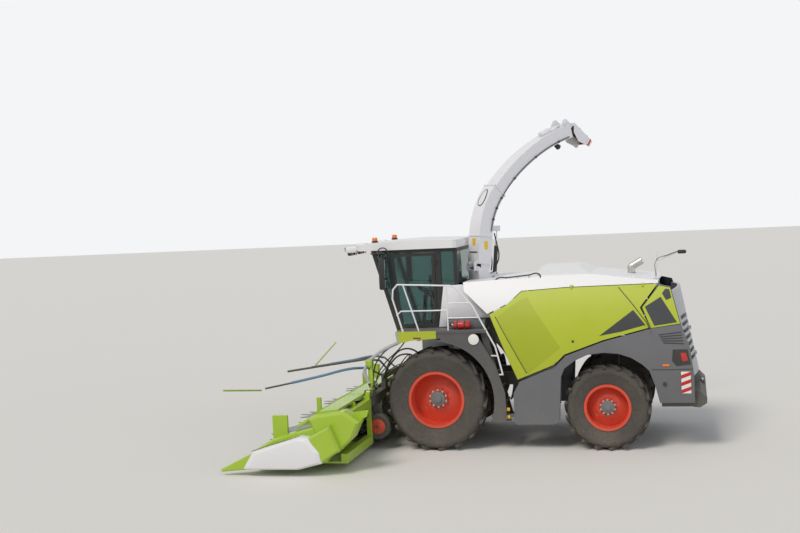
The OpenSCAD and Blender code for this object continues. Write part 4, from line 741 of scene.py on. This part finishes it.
def band(points, width):
    """The outline of a strip of the given width along a line of (x, z) points."""
    left, right = [], []
    for i, point in enumerate(points):
        before, after = Vector(points[max(i - 1, 0)]), Vector(points[min(i + 1, len(points) - 1)])
        along = (after - before).normalized()
        across = Vector((-along.y, along.x)) * width / 2
        left.append(tuple(Vector(point) + across))
        right.append(tuple(Vector(point) - across))
    return left + right[::-1]


print("a band of 10 mm:", [tuple(round(v, 3) for v in point) for point in band([(0, 0), (1, 0)], 0.01)])

# %% Facet, seams, film and latches of the side panels
dark_film = dusty("dark film, satin", "#1E2123", 0.3, coat=0.3, dust=0.08)
# Painted shade: the lime moulding made darker for the facet that faces down
lime_painted_shade = dusty("moulded panel, lime, painted shade", "#A2AF0E", 0.42, dust=0.1, grain_mm=1.5, grain=0.06)
seam_rubber = dusty("rubber seam", "#2A2C20", 0.6, dust=0.1)
SEAM_WIDE = 0.014
PANEL_SHEETS = [
    # name, side outline, finish, height over the panel
    ("dark_triangle", [(-3.10, 2.13), (-3.72, 2.58), (-3.93, 2.31), (-3.50, 2.20)], dark_film, 0.004),
    # the facet's painted shade, a darker lime sheet laid over the panel
    ("panel_facet", [(-1.20, 2.50), (-1.62, 2.80), (-1.77, 2.86), (-1.86, 2.70), (-2.38, 1.93), (-1.90, 1.55),
                     (-1.76, 1.46)], lime_painted_shade, 0.002),
    ("panel_seam_front", band([(-1.17, 2.52), (-1.46, 1.99), (-1.745, 1.46)], SEAM_WIDE), seam_rubber, 0.004),
    ("panel_seam_rear", band([(-3.46, 2.99), (-3.72, 2.67), (-4.01, 2.27)], SEAM_WIDE), seam_rubber, 0.004),
]
PANEL_HANDLE = [(-2.10, 1.455, 1.53), (-2.22, 1.462, 1.575), (-2.31, 1.456, 1.66)]
for side_name, side in SIDES:
    panel = f"side_panel_{side_name}"
    for name, outline, material, lift in PANEL_SHEETS:
        laid(f"{name}_{side_name}", outline, panel, material, side, panel, lift)
    latch = disc(f"panel_latches_{side_name}", -2.615, 2.04, 1.40 * side, 1.432 * side, 0.020, black_moulding,
                 panel, 0.004)
    copies(f"panel_latches_{side_name}", latch, [Matrix.Translation((0.876, 0.012 * side, -0.385))], panel)
    hose(f"panel_handle_{side_name}", mirrored(PANEL_HANDLE, side), 0.011, black_moulding, panel)

# %% [markdown]
# ## The tail
# Each side ends in dark smoked windows in a lime frame. Below them are the vent slots, the deep recess
# of the rear lamp, an orange side marker, a filler cap and a warning plate with red and white stripes.
# The plate's stripes run down and outwards, as such plates do.

# %% Windows, vents and the warning plate
white_film = dusty("reflective film, white", "#EDEDE8", 0.35, dust=0.05)
red_film = dusty("reflective film, red", "#C8201A", 0.35, dust=0.05)
yellow_film = dusty("label film, yellow", "#F2C416", 0.4, dust=0.05)
PLATE_LOW, PLATE_HIGH, PLATE_REAR, PLATE_FRONT = 1.06, 1.46, -4.70, -4.53
STRIPE_STEP, STRIPE_TALL = 0.135, 0.065
VENTS = 5
TAIL_SHEETS = [
    # name, side outline, CAD node under it, finish, height over the node, grid cells
    ("window_frame", [(-3.885, 2.62), (-4.19, 3.00), (-4.385, 2.955), (-4.545, 2.32), (-4.03, 2.252)],
     "rear_grilles", lime_moulding, 0.004, 10),
    ("rear_window", [(-3.93, 2.63), (-4.215, 2.80), (-4.49, 2.345), (-4.09, 2.29)],
     "rear_grilles", smoke_sheet, 0.009, 10),
    ("top_window", [(-4.24, 2.86), (-4.30, 2.94), (-4.37, 2.93), (-4.405, 2.78), (-4.31, 2.74)],
     "rear_grilles", smoke_sheet, 0.009, 10),
    ("lamp_recess", [(-4.40, 1.86), (-4.66, 1.86), (-4.71, 1.59), (-4.46, 1.56), (-4.38, 1.66)],
     "lower_sides", black_moulding, 0.004, 10),
    ("tail_lamp", [(-4.53, 1.80), (-4.63, 1.80), (-4.66, 1.66), (-4.56, 1.65)],
     "lower_sides", red_lens, 0.010, 4),
    ("side_marker", [(-4.21, 1.60), (-4.33, 1.605), (-4.335, 1.565), (-4.215, 1.56)],
     "lower_sides", amber_lens, 0.010, 4),
    ("tail_seam", band([(-4.02, 1.50), (-4.38, 1.50), (-4.74, 1.505)], 0.010),
     "lower_sides", seam_rubber, 0.004, 10),
    ("warning_plate", [(PLATE_FRONT, PLATE_LOW), (PLATE_FRONT, PLATE_HIGH), (PLATE_REAR, PLATE_HIGH),
                       (PLATE_REAR, PLATE_LOW)], "lower_sides", white_film, 0.005, 4),
]
for side_name, side in SIDES:
    for name, outline, node, material, lift, cells in TAIL_SHEETS:
        laid(f"{name}_{side_name}", outline, node, material, side, lift=lift, cells=cells)
    vents, stripes = [], []
    for i in range(VENTS):
        slot = band([(-4.16 - 0.02 * i, 2.125 - 0.036 * i), (-4.56 - 0.01 * i, 2.17 - 0.052 * i)], 0.017)
        vents.append(laid(f"vent_{side_name}_{i}", slot, "lower_sides", black_moulding, side, cells=4))
    joined(f"vents_{side_name}", vents)
    for i in range(3):
        z = PLATE_LOW + STRIPE_STEP * i
        stripe = [(PLATE_FRONT, z), (PLATE_FRONT, z + STRIPE_TALL), (PLATE_REAR, z + 2 * STRIPE_TALL),
                  (PLATE_REAR, z + STRIPE_TALL)]
        stripes.append(laid(f"stripe_{side_name}_{i}", stripe, "lower_sides", red_film, side, lift=0.008,
                            cells=4))
    joined(f"warning_stripes_{side_name}", stripes)
    disc(f"filler_cap_{side_name}", -4.24, 1.235, 1.43 * side, 1.462 * side, 0.034, black_moulding,
         edge=0.006)
    for i, z in enumerate((0.79, 0.645)):
        label = mirrored(((-1.40, 1.455, z - 0.03), (-1.34, 1.462, z + 0.03)), side)
        block(f"fender_label_{side_name}_{i}", *label, yellow_film, edge=0.001)
disc("speed_disc", -0.78, 2.12, 1.500, 1.522, 0.10, white_film, edge=0.002, sides=64)
print("tail pieces done")

# %% [markdown]
# ## Behind the tail door
# Behind the door's slots lies the cooler's screen, a fine dark mesh. Without it one would look right
# through the engine room. The bumper has a red reflector at each end, a tread plate and a tow pin with
# a wide head.

# %% Screen, reflectors and tow pin
screen_mesh = dusty("screen mesh, dark", "#17181A", 0.6, dust=0.2, grain_mm=4.0, grain=1.0)
plate("cooler_screen", [(-4.62, 1.40), (-4.60, 1.40), (-4.32, 2.72), (-4.34, 2.72)], -1.02, 1.02, screen_mesh)
for side_name, side in SIDES:
    for name, x0, x1, radius, material in (("reflector", -4.960, -4.974, 0.042, red_lens),
                                           ("reflector_ring", -4.955, -4.971, 0.050, black_moulding)):
        ends = mirrored(((x0, 1.10, 0.912), (x1, 1.10, 0.912)), side)
        rod(f"{name}_{side_name}", *ends, radius, material, edge=0.003, sides=40)
rod("tow_pin", (-4.90, 0, 0.78), (-4.90, 0, 1.115), 0.019, zinc, edge=0.003)
rod("tow_pin_head", (-4.90, 0, 1.085), (-4.90, 0, 1.105), 0.038, zinc, edge=0.004)
block("rear_step", (-4.955, -0.55, 1.079), (-4.87, -0.15, 1.087), tread_metal, edge=0.002)
print("tail door backed")

# %% [markdown]
# ## The header
# The outer end of each wing is closed by a white moulded cover with rounded shoulders. It is drawn as
# its side outline, extruded outwards and then once more while its edge is drawn in, which gives the
# sloped shoulder that the light catches. Two of the bars that guide the crop have a blue sleeve.

# %% White covers
blue_sleeve = dusty("woven hose sleeve, blue", "#5F86A8", 0.6, dust=0.15, grain_mm=2.0, grain=0.4)
NOSE = [(3.085, 0.145), (2.893, 0.446), (2.542, 0.558), (2.008, 0.716), (1.842, 0.696), (1.632, 0.442),
        (1.604, 0.246), (2.04, 0.134), (3.02, 0.124)]
NOSE_INNER, NOSE_SHOULDER, NOSE_OUTER = 3.45, 3.648, 3.706
NOSE_KEPT, NOSE_MIDDLE = 0.86, (2.25, 0.37)  # its outer face is the outline drawn in about this middle
NOSE_SEAM = [(2.94, 3.56, 0.44), (2.60, 3.57, 0.548), (2.02, 3.57, 0.712)]
SENSOR_PLATE = [(1.46, 0.80), (1.30, 0.72), (1.36, 0.62)]
GUIDE_SLEEVE = [(1.62, 0.755, 1.502), (1.83, 0.90, 1.51), (2.40, 1.10, 1.40), (2.95, 1.293, 1.30)]
for side_name, side in SIDES:
    wing = f"wing_{side_name}"
    cover = outline_face(NOSE, NOSE_INNER * side)
    face_middle = at(NOSE_MIDDLE[0], NOSE_OUTER * side, NOSE_MIDDLE[1])
    edit(draw_out((NOSE_SHOULDER - NOSE_INNER) * side),
         draw_out((NOSE_OUTER - NOSE_SHOULDER) * side),
         (bpy.ops.transform.resize, {"value": (NOSE_KEPT, 1, NOSE_KEPT), "center_override": face_middle}))
    bevel_edges(0.012, 3)
    done(cover, f"nose_cover_{side_name}", pale_moulding, wing, smooth=50)
    hose(f"nose_seam_{side_name}", mirrored(NOSE_SEAM, side), 0.006, seam_rubber, wing)
    laid(f"sensor_plate_{side_name}", SENSOR_PLATE, wing, black_moulding, side, wing, lift=0.006, cells=4)
    hose(f"guide_sleeve_{side_name}", mirrored(GUIDE_SLEEVE, side), 0.026, blue_sleeve, "header")
print("header covers done")

# %% [markdown]
# ## Hydraulics at the front
# Between the cab and the header run the black rubber hoses that drive the header. Five of them cross
# from the chassis to the header and ride on neither body, and one on each side feeds the folding
# wing. They sag a little between their ends, since a hose is cut longer than the distance it spans.

# %% Hoses
HOSES = [
    # name, points, radius
    ("feed", [(0.30, 0.62, 1.62), (0.75, 0.66, 1.86), (1.10, 0.62, 1.60), (1.24, 0.50, 1.28)], 0.017),
    ("return", [(0.30, 0.68, 1.56), (0.78, 0.74, 1.76), (1.12, 0.70, 1.50), (1.25, 0.58, 1.28)], 0.017),
    ("pilot", [(0.30, 0.74, 1.50), (0.82, 0.82, 1.58), (1.16, 0.80, 1.36), (1.26, 0.66, 1.22)], 0.009),
    ("outer", [(0.60, 1.02, 2.11), (0.86, 1.04, 2.00), (1.20, 1.10, 1.72), (1.31, 1.12, 1.42),
               (1.31, 1.10, 1.10)], 0.014),
    ("outer_low", [(0.62, 0.985, 2.11), (0.80, 0.98, 1.90), (1.12, 0.98, 1.60), (1.27, 1.00, 1.36),
                   (1.30, 1.00, 1.10)], 0.012),
]
FOLD_HOSE = [(1.24, 0.45, 1.30), (1.10, 0.85, 1.52), (1.16, 1.20, 1.42), (1.28, 1.36, 1.20)]
for name, points, radius in HOSES:
    piece = hose(f"hose_{name}", points, radius, hose_rubber, None)
    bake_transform(piece)
for side_name, side in SIDES:
    hose(f"hose_fold_{side_name}", mirrored(FOLD_HOSE, side), 0.012, hose_rubber, "header")
print("hoses", len(HOSES))

# %% [markdown]
# A pale sleeve of woven cloth gathers the thin hoses of the header and keeps them off the tyre. It runs
# down from under the platform to a lime stand on the header's beam. When the header is lifted, the two
# ends come closer; the sleeve rides on neither body.

# %% Sleeve and stand on the header
sleeve_cloth = dusty("woven hose sleeve, grey", "#B9BBBE", 0.7, dust=0.2, grain_mm=2.0, grain=0.4)
sleeve_run = [(0.62, 1.22, 2.11), (0.80, 1.25, 2.03), (1.13, 1.30, 1.87), (1.36, 1.31, 1.66),
              (1.43, 1.31, 1.50), (1.36, 1.30, 1.30)]
sleeve = hose("hose_sleeve", sleeve_run, 0.034, sleeve_cloth, None)
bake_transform(sleeve)
block("coupler_post", (1.275, 1.24, 1.055), (1.325, 1.30, 1.66), header_enamel, "header", edge=0.006)
block("coupler_head", (1.26, 1.22, 1.61), (1.40, 1.36, 1.74), header_enamel, "header", edge=0.018)
for i, (x, z) in enumerate(((1.295, 1.645), (1.365, 1.645), (1.295, 1.705), (1.365, 1.705))):
    disc(f"coupler_bolt_{i}", x, z, 1.355, 1.372, 0.014, zinc, "header", 0.003, 6)
block("coupler_plate", (1.30, 1.06, 1.055), (1.345, 1.24, 1.30), header_enamel, "header", edge=0.006)
for i, cap_colour in enumerate((black_moulding, red_enamel, black_moulding)):
    y, z = 1.09 + 0.055 * i, 1.24 - 0.05 * (i % 2)
    rod(f"coupler_{i}", (1.30, y, z), (1.24, y, z), 0.019, zinc, "header", edge=0.004)
    rod(f"coupler_cap_{i}", (1.345, y, z), (1.40, y, z), 0.022, cap_colour, "header", edge=0.005)
print("header stand done")

# %% [markdown]
# ## The discharge spout
# The spout turns on the body behind the cab and its duct bends over in two arcs. Its small parts are
# drawn in the spout's own directions, x along its run and y across it, with its turning axis at zero.
# One matrix then turns them into place, so that a label or a bolt needs no sums of its own. The outer
# wall has an oval service cover in a black seal, and a cylinder between two white brackets works the
# flap at the end.

# %% The spout's own directions
SPOUT_AXIS_X, SPOUT_TURN, FLAP_TURN = -0.69, math.radians(230), math.radians(38)
ARCS = {
    # bend: x and z of its centre, its radius, half of the duct's depth
    "lower": (1.5503, 3.8501, 1.5, 0.165),
    "upper": (3.5645, 1.9051, 4.3, 0.135),
}
FLAP_PIN = (2.584, 6.202)
TO_AXLE = Matrix.Translation(-at(0, 0, 0))
SPOUT = Matrix.Translation(at(SPOUT_AXIS_X, 0, 0)) @ Matrix.Rotation(SPOUT_TURN, 4, "Z") @ TO_AXLE
TO_PIN = Matrix.Translation(at(FLAP_PIN[0], 0, FLAP_PIN[1]))
FLAP = SPOUT @ TO_PIN @ Matrix.Rotation(FLAP_TURN, 4, "Y") @ TO_AXLE


def turned(piece, into=SPOUT):
    """Turns a piece that was drawn in the spout's directions into its place."""
    piece.data.transform(into)
    return piece


def on_arc(bend, degrees, outwards, across):
    """A place in one of the duct's bends, outwards from its middle line and across the duct."""
    x, z, radius, _ = ARCS[bend]
    angle = math.radians(degrees)
    return (x - (radius + outwards) * math.sin(angle), across, z + (radius + outwards) * math.cos(angle))


print("the duct ends", [round(v, 2) for v in on_arc("upper", 14, 0, 0)])

# %% Service cover, slots and labels of the duct
COVER_AT, COVER_HALF, COVER_WIDE, COVER_TAPER = 56.5, 6.4, 0.085, 0.22  # degrees, degrees, metres, a share
COVER_STEPS = 24
turns = [2 * math.pi * i / COVER_STEPS for i in range(COVER_STEPS + 1)]
cover_edge = [on_arc("lower", COVER_AT - COVER_HALF * math.cos(turn), 0.170,
                     COVER_WIDE * (1 - COVER_TAPER * math.cos(turn)) * math.sin(turn)) for turn in turns]
turned(hose("spout_cover_seal", cover_edge, 0.009, black_moulding, "spout"))
bpy.ops.mesh.primitive_grid_add(x_subdivisions=12, y_subdivisions=8, size=2)
cover = bpy.context.object
for vertex in cover.data.vertices:
    # The square grid becomes a disc, and the disc the cover's tapering oval, a little crowned
    u, v = vertex.co.x, vertex.co.y
    u, v = u * math.sqrt(max(0, 1 - v * v / 2)), v * math.sqrt(max(0, 1 - u * u / 2))
    vertex.co = at(*on_arc("lower", COVER_AT - COVER_HALF * u, 0.172 + 0.010 * (1 - u * u) * (1 - v * v),
                           COVER_WIDE * (1 - COVER_TAPER * u) * v))
turned(done(cover, "spout_cover", pale_enamel, "spout"))
DUCT_BLOCKS = [
    # name, two corners, finish, body, rounded edge
    ("slot_duct", (-0.149, -0.115, 3.684), (-0.139, 0.115, 3.706), black_moulding, "spout", 0.002),
    ("slot_neck", (-0.176, -0.115, 3.364), (-0.166, 0.115, 3.386), black_moulding, "spout_base", 0.002),
    ("label_back", (-0.127, -0.045, 3.80), (-0.1215, 0.045, 3.97), yellow_film, "spout", 0),
    ("label_side", (0.0, -0.171, 3.74), (0.085, -0.1655, 3.90), yellow_film, "spout", 0),
    ("label_side_right", (0.0, 0.1655, 3.74), (0.085, 0.171, 3.90), yellow_film, "spout", 0),
]
for name, low, high, material, body, edge in DUCT_BLOCKS:
    turned(block(f"spout_{name}", low, high, material, body, edge=edge))
print("labels done")

# %% Pipes and hoses along the duct
PIPE_Y, PIPE_R = 0.178, 0.013
PIPE_IN = {"lower": -0.120, "upper": -0.100}  # how far the pipes lie inside each bend's middle line
PIPE_RUN = {"lower": (80, 73, 65, 55, 46), "upper": (40, 34, 27, 20, 15.5)}
CLIPS = {"lower": (70, 60, 50), "upper": (40, 30, 20)}
LIFT_HOSES = {
    "left": [(0.34, -0.05, 3.33), (0.42, -0.10, 3.55), (0.37, -0.11, 3.85), (0.30, -0.13, 4.05)],
    "right": [(0.34, 0.05, 3.30), (0.42, 0.12, 3.48), (0.38, 0.14, 3.75), (0.29, 0.14, 3.95)],
}
for name, across in (("left", -PIPE_Y), ("right", PIPE_Y)):
    run = [on_arc(bend, degrees, PIPE_IN[bend], across) for bend in ARCS for degrees in PIPE_RUN[bend]]
    turned(hose(f"spout_pipe_{name}", run, PIPE_R, cast_iron, "spout"))
for bend in ARCS:
    for degrees in CLIPS[bend]:
        for letter, across in (("l", -PIPE_Y), ("r", PIPE_Y)):
            low = on_arc(bend, degrees + 0.8, PIPE_IN[bend], across * 0.93)
            high = on_arc(bend, degrees - 0.8, PIPE_IN[bend], across * 1.11)
            corners = [[(low[i] + high[i]) / 2 + out * half for i, half in enumerate((0.02, 0.018, 0.02))]
                       for out in (-1, 1)]
            turned(block(f"spout_clip_{bend}_{degrees}_{letter}", *corners, black_moulding, "spout"))
for name, points in LIFT_HOSES.items():
    piece = turned(hose(f"spout_hose_{name}", points, PIPE_R, hose_rubber, None))
    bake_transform(piece)
print("pipes done")

# %% The end of the duct
def end_box(name, degrees, low_out, high_out, half_run, half_wide, edge):
    """A white box that stands on the duct's upper bend, turned to its slope."""
    low, high = (-half_run, -half_wide, low_out), (half_run, half_wide, high_out)
    piece = block(name, low, high, pale_enamel, "spout", edge=edge)
    place = Matrix.Translation(at(*on_arc("upper", degrees, 0, 0)))
    piece.data.transform(place @ Matrix.Rotation(-math.radians(degrees), 4, "Y") @ TO_AXLE)
    turned(piece)


end_box("flap_motor_cover", 21.5, 0.132, 0.215, 0.15, 0.075, 0.025)
end_box("flap_valve_cover", 19.2, 0.132, 0.185, 0.10, 0.10, 0.02)
BRACKET = [(2.16, 6.08), (2.30, 6.31), (2.38, 6.335), (2.52, 6.235), (2.50, 6.12)]
BRACKET_THICK, BOLT_HEAD = 0.012, 0.0168
for side_name, y, out in (("left", -0.155, 1), ("right", 0.143, -1)):
    turned(plate(f"flap_bracket_{side_name}", BRACKET, y, y + BRACKET_THICK, pale_enamel, "spout",
                 edge=0.003))
    ends = (y + BRACKET_THICK / 2, y + BRACKET_THICK / 2 - BOLT_HEAD * out)
    for i, (x, z) in enumerate(((2.31, 6.22), (2.38, 6.23), (2.34, 6.17))):
        turned(disc(f"flap_bracket_bolt_{side_name}_{i}", x, z, *ends, 0.012, zinc, "spout", sides=6))
turned(rod("flap_cylinder", (2.26, 0.0, 6.175), (2.50, 0.0, 6.235), 0.018, hard_chrome, "spout"))
turned(rod("flap_cylinder_barrel", (2.10, 0.0, 6.135), (2.30, 0.0, 6.185), 0.030, pale_enamel, "spout",
           edge=0.005, sides=32))
turned(block("spout_lamp_foot", (2.20, -0.03, 5.83), (2.26, 0.03, 5.875), black_moulding, "spout"))
turned(rod("spout_lamp_bowl", (2.21, 0.0, 5.795), (2.29, 0.0, 5.745), 0.045, black_moulding, "spout",
           edge=0.006, sides=32, far_radius=0.06))
turned(rod("spout_lamp_glass", (2.291, 0.0, 5.744), (2.297, 0.0, 5.740), 0.052, clear_lens, "spout",
           sides=32))
print("end of the duct done")

# %% Strips and ribs of the flap
STRIP_LOW, STRIP_FOOT, STRIP_TOP, STRIP_WIDE = -0.128, -0.112, 0.040, 0.034
for side_name, out in (("left", -1), ("right", 1)):
    y_in, y_out = 0.1965 * out, 0.2005 * out
    for i, (x, film) in enumerate(((0.50, white_film), (0.54, red_film), (0.58, white_film))):
        strip = [(x, STRIP_TOP), (x, STRIP_LOW), (x + STRIP_WIDE, STRIP_FOOT), (x + STRIP_WIDE, STRIP_TOP)]
        turned(plate(f"flap_strip_{side_name}_{i}", strip, y_in, y_out, film, "spout_flap"), FLAP)
FLAP_BLOCKS = [
    # name, two corners, finish, rounded edge
    ("end_strip", (0.617, -0.185, -0.02), (0.6235, 0.185, 0.046), red_film, 0.001),
    ("rib_near", (0.16, -0.19, 0.045), (0.20, 0.19, 0.062), pale_enamel, 0.004),
    ("rib_far", (0.42, -0.19, 0.045), (0.46, 0.19, 0.062), pale_enamel, 0.004),
    ("liner", (0.02, -0.16, 0.020), (0.60, 0.16, 0.0345), hose_rubber, 0.003),
]
for name, low, high, material, edge in FLAP_BLOCKS:
    turned(block(f"flap_{name}", low, high, material, "spout_flap", edge=edge), FLAP)
print("flap done")

# %% [markdown]
# ## Mast, exhaust and hood
# The rear mast carries a small black camera. The exhaust's mouth is sooty inside. A low rail runs along
# the hood beside the spout, for whoever stands there to clean the cooler.

# %% Mast camera, exhaust mouth and low rail
block("mast_camera", (-4.684, 0.596, 3.546), (-4.541, 0.684, 3.614), black_moulding, edge=0.010)
rod("mast_camera_lens", (-4.684, 0.64, 3.58), (-4.695, 0.64, 3.58), 0.022, smoke_sheet, edge=0.003)
MAST_CABLE = [(-4.56, 0.655, 3.60), (-4.36, 0.643, 3.53), (-4.15, 0.618, 3.44), (-4.13, 0.625, 3.13)]
hose("mast_cable", MAST_CABLE, 0.006, hose_rubber)
soot = dusty("soot", "#121110", 0.9, dust=0.05)
mouth, leans = Vector((-3.848, -0.25, 3.40)), Vector((-0.866, 0, 0.5))
rod("exhaust_soot", mouth - leans * 0.14, mouth - leans * 0.12, 0.0655, soot, sides=48)
rod("exhaust_clamp", (-3.64, -0.25, 3.15), (-3.64, -0.25, 3.175), 0.079, worn_steel, edge=0.003, sides=48)
RAIL_Y, RAIL_RISE = 0.98, 0.075
RAIL = [(-1.15, RAIL_Y, 3.13), (-1.18, RAIL_Y, 3.205), (-1.40, RAIL_Y, 3.225), (-1.78, RAIL_Y, 3.258),
        (-1.99, RAIL_Y, 3.272), (-2.02, RAIL_Y, 3.19)]
hose("hood_rail", RAIL, 0.013, black_moulding)
for i, x in enumerate((-1.36, -1.58, -1.80)):
    foot_top = 3.225 + (-x - 1.36) * RAIL_RISE
    rod(f"hood_rail_foot_{i}", (x, RAIL_Y, 3.14), (x, RAIL_Y, foot_top), 0.012, zinc, sides=16)
print("mast, exhaust and rail done")

# %% [markdown]
# ## The operator's seat
# The cushions are soft: foam under woven cloth. A stuffed form is crowned between its seams and pulled
# in along its sewn channels, so it can't be a box with rounded edges. Each cushion starts as a finely
# cut cube whose faces are pushed out towards their middles, the channels are pressed in, and a
# subdivision smooths the whole. The hard pan, the suspension's bellows and the armrest are plain
# plastic and rubber.

# %% Cushions
CUTS, CHANNEL_DEEP, CHANNEL_WIDE = 13, 0.016, 0.09


def cushion(name, low, high, crown, channels, lean=0.0, hinge=None):
    """A stuffed form between two corners. crown is how far each face bulges, channels are places from -1 to 1
    along its length, and lean turns it about its hinge."""
    middle, half = (low + high) / 2, (high - low) / 2
    bpy.ops.mesh.primitive_cube_add(size=2)
    piece = bpy.context.object
    edit((bpy.ops.mesh.subdivide, {"number_cuts": CUTS}))
    length = 0 if half.x > half.z else 2
    thin = min(range(3), key=lambda i: half[i])
    for vertex in piece.data.vertices:
        cube = vertex.co.copy()
        shape = Vector()
        for i in range(3):
            j, k = (i + 1) % 3, (i + 2) % 3
            share = cube[i] if abs(cube[i]) > 0.99 else cube[i] ** 3
            shape[i] = cube[i] * (half[i] - crown) + crown * (1 - cube[j] ** 2) * (1 - cube[k] ** 2) * share
        if cube[thin] > 0.5:
            for groove in channels:
                depth = CHANNEL_DEEP * math.exp(-((cube[length] - groove) / CHANNEL_WIDE) ** 2)
                shape[thin] -= depth * (1 - cube[1] ** 8)
        vertex.co = middle + shape
    smooth = piece.modifiers.new("smooth", "SUBSURF")
    smooth.levels = smooth.render_levels = 2
    bpy.ops.object.modifier_apply(modifier="smooth")
    if lean:
        piece.data.transform(turn_about(hinge, lean))
    return done(piece, name, seat_cloth, "chassis", smooth=80)


seat_low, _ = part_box("operator_seat")
seat_x, floor_z = -FRONT_AXLE_X + seat_low.x + 0.290, seat_low.z


def in_seat(x, y, z):
    """A place on the machine, measured from the foot of the seat."""
    return (seat_x + x, y, floor_z + z)


def in_frame(x, y, z):
    """The same place in the frame."""
    return at(*in_seat(x, y, z))


seat_cushion = cushion("seat_cushion", in_frame(-0.21, -0.25, 0.335), in_frame(0.285, 0.25, 0.468), 0.022,
                       (-0.45, 0.05, 0.5))
seat_back = cushion("seat_back", in_frame(-0.235, -0.24, 0.445), in_frame(-0.125, 0.24, 0.995), 0.020,
                    (-0.6, -0.15, 0.3, 0.72), lean=-0.10, hinge=in_frame(-0.17, 0, 0.445))
seat_head = cushion("seat_headrest", in_frame(-0.290, -0.14, 0.98), in_frame(-0.215, 0.14, 1.112), 0.014, ())
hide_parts("operator_seat")
print("cushions", [len(piece.data.vertices) for piece in (seat_cushion, seat_back, seat_head)])

# %% Pan, suspension and armrest
HARD_BLOCKS = [
    # name, two corners from the foot of the seat, rounded edge
    ("base", (-0.18, -0.17, 0.003), (0.18, 0.17, 0.06), 0.01),
    ("pan", (-0.22, -0.24, 0.275), (0.26, 0.24, 0.345), 0.02),
    ("armrest", (-0.15, -0.38, 0.60), (0.30, -0.28, 0.68), 0.02),
]
for name, low, high, edge in HARD_BLOCKS:
    block(f"seat_{name}", in_seat(*low), in_seat(*high), black_moulding, edge=edge)
FOLD_LOW, FOLD_RISE, FOLD_TALL = 0.06, 0.045, 0.04
for i in range(5):
    z = FOLD_LOW + FOLD_RISE * i
    block(f"seat_bellows_{i}", in_seat(-0.15, -0.145, z), in_seat(0.15, 0.145, z + FOLD_TALL), hose_rubber,
          edge=0.018)
BACK = ((-0.235, 0.34), (-0.20, 0.34), (-0.258, 1.06), (-0.290, 1.06))
plate("seat_shell", [(seat_x + x, floor_z + z) for x, z in BACK], -0.20, 0.20, black_moulding, edge=0.008)
rod("seat_armrest_post", in_seat(-0.13, -0.30, 0.42), in_seat(-0.11, -0.32, 0.62), 0.022, black_moulding)
rod("drive_lever", in_seat(0.25, -0.33, 0.675), in_seat(0.27, -0.33, 0.76), 0.014, black_moulding)
rod("drive_lever_grip", in_seat(0.27, -0.33, 0.745), in_seat(0.28, -0.33, 0.84), 0.026, black_moulding,
    edge=0.010, sides=32)
block("screen_glass", (0.4065, -0.515, floor_z + 0.815), (0.4095, -0.345, floor_z + 1.025), smoke_sheet,
      edge=0.001)
print("seat done")

# %% [markdown]
# ## Bolts
# Bolt heads are what tells a reader how big a machine is. They are put where covers are held: at the
# header's white covers and on the platform's skirt. One head is modelled for each row and copied along
# it.

# %% Rows of bolts
HEAD_R, HEAD_SUNK, HEAD_OUT = 0.009, 0.004, 0.007


def bolt_row(name, places, side, face, body="chassis"):
    """Hexagon heads at (x, z) places on a side face that lies at y = face."""
    x0, z0 = places[0]
    ends = ((face - HEAD_SUNK) * side, (face + HEAD_OUT) * side)
    first = disc(name, x0, z0, *ends, HEAD_R, zinc, body, sides=6)
    copies(name, first, [Matrix.Translation((x - x0, 0, z - z0)) for x, z in places[1:]], body)


for side_name, side in SIDES:
    bolt_row(f"nose_bolts_{side_name}", [(2.72, 0.24), (2.10, 0.62), (1.76, 0.50), (1.74, 0.28)], side, 3.672,
             f"wing_{side_name}")
bolt_row("skirt_bolts", [(0.64, 2.25), (0.30, 2.25), (-0.02, 2.25)], 1, 1.500)
print("bolts done")
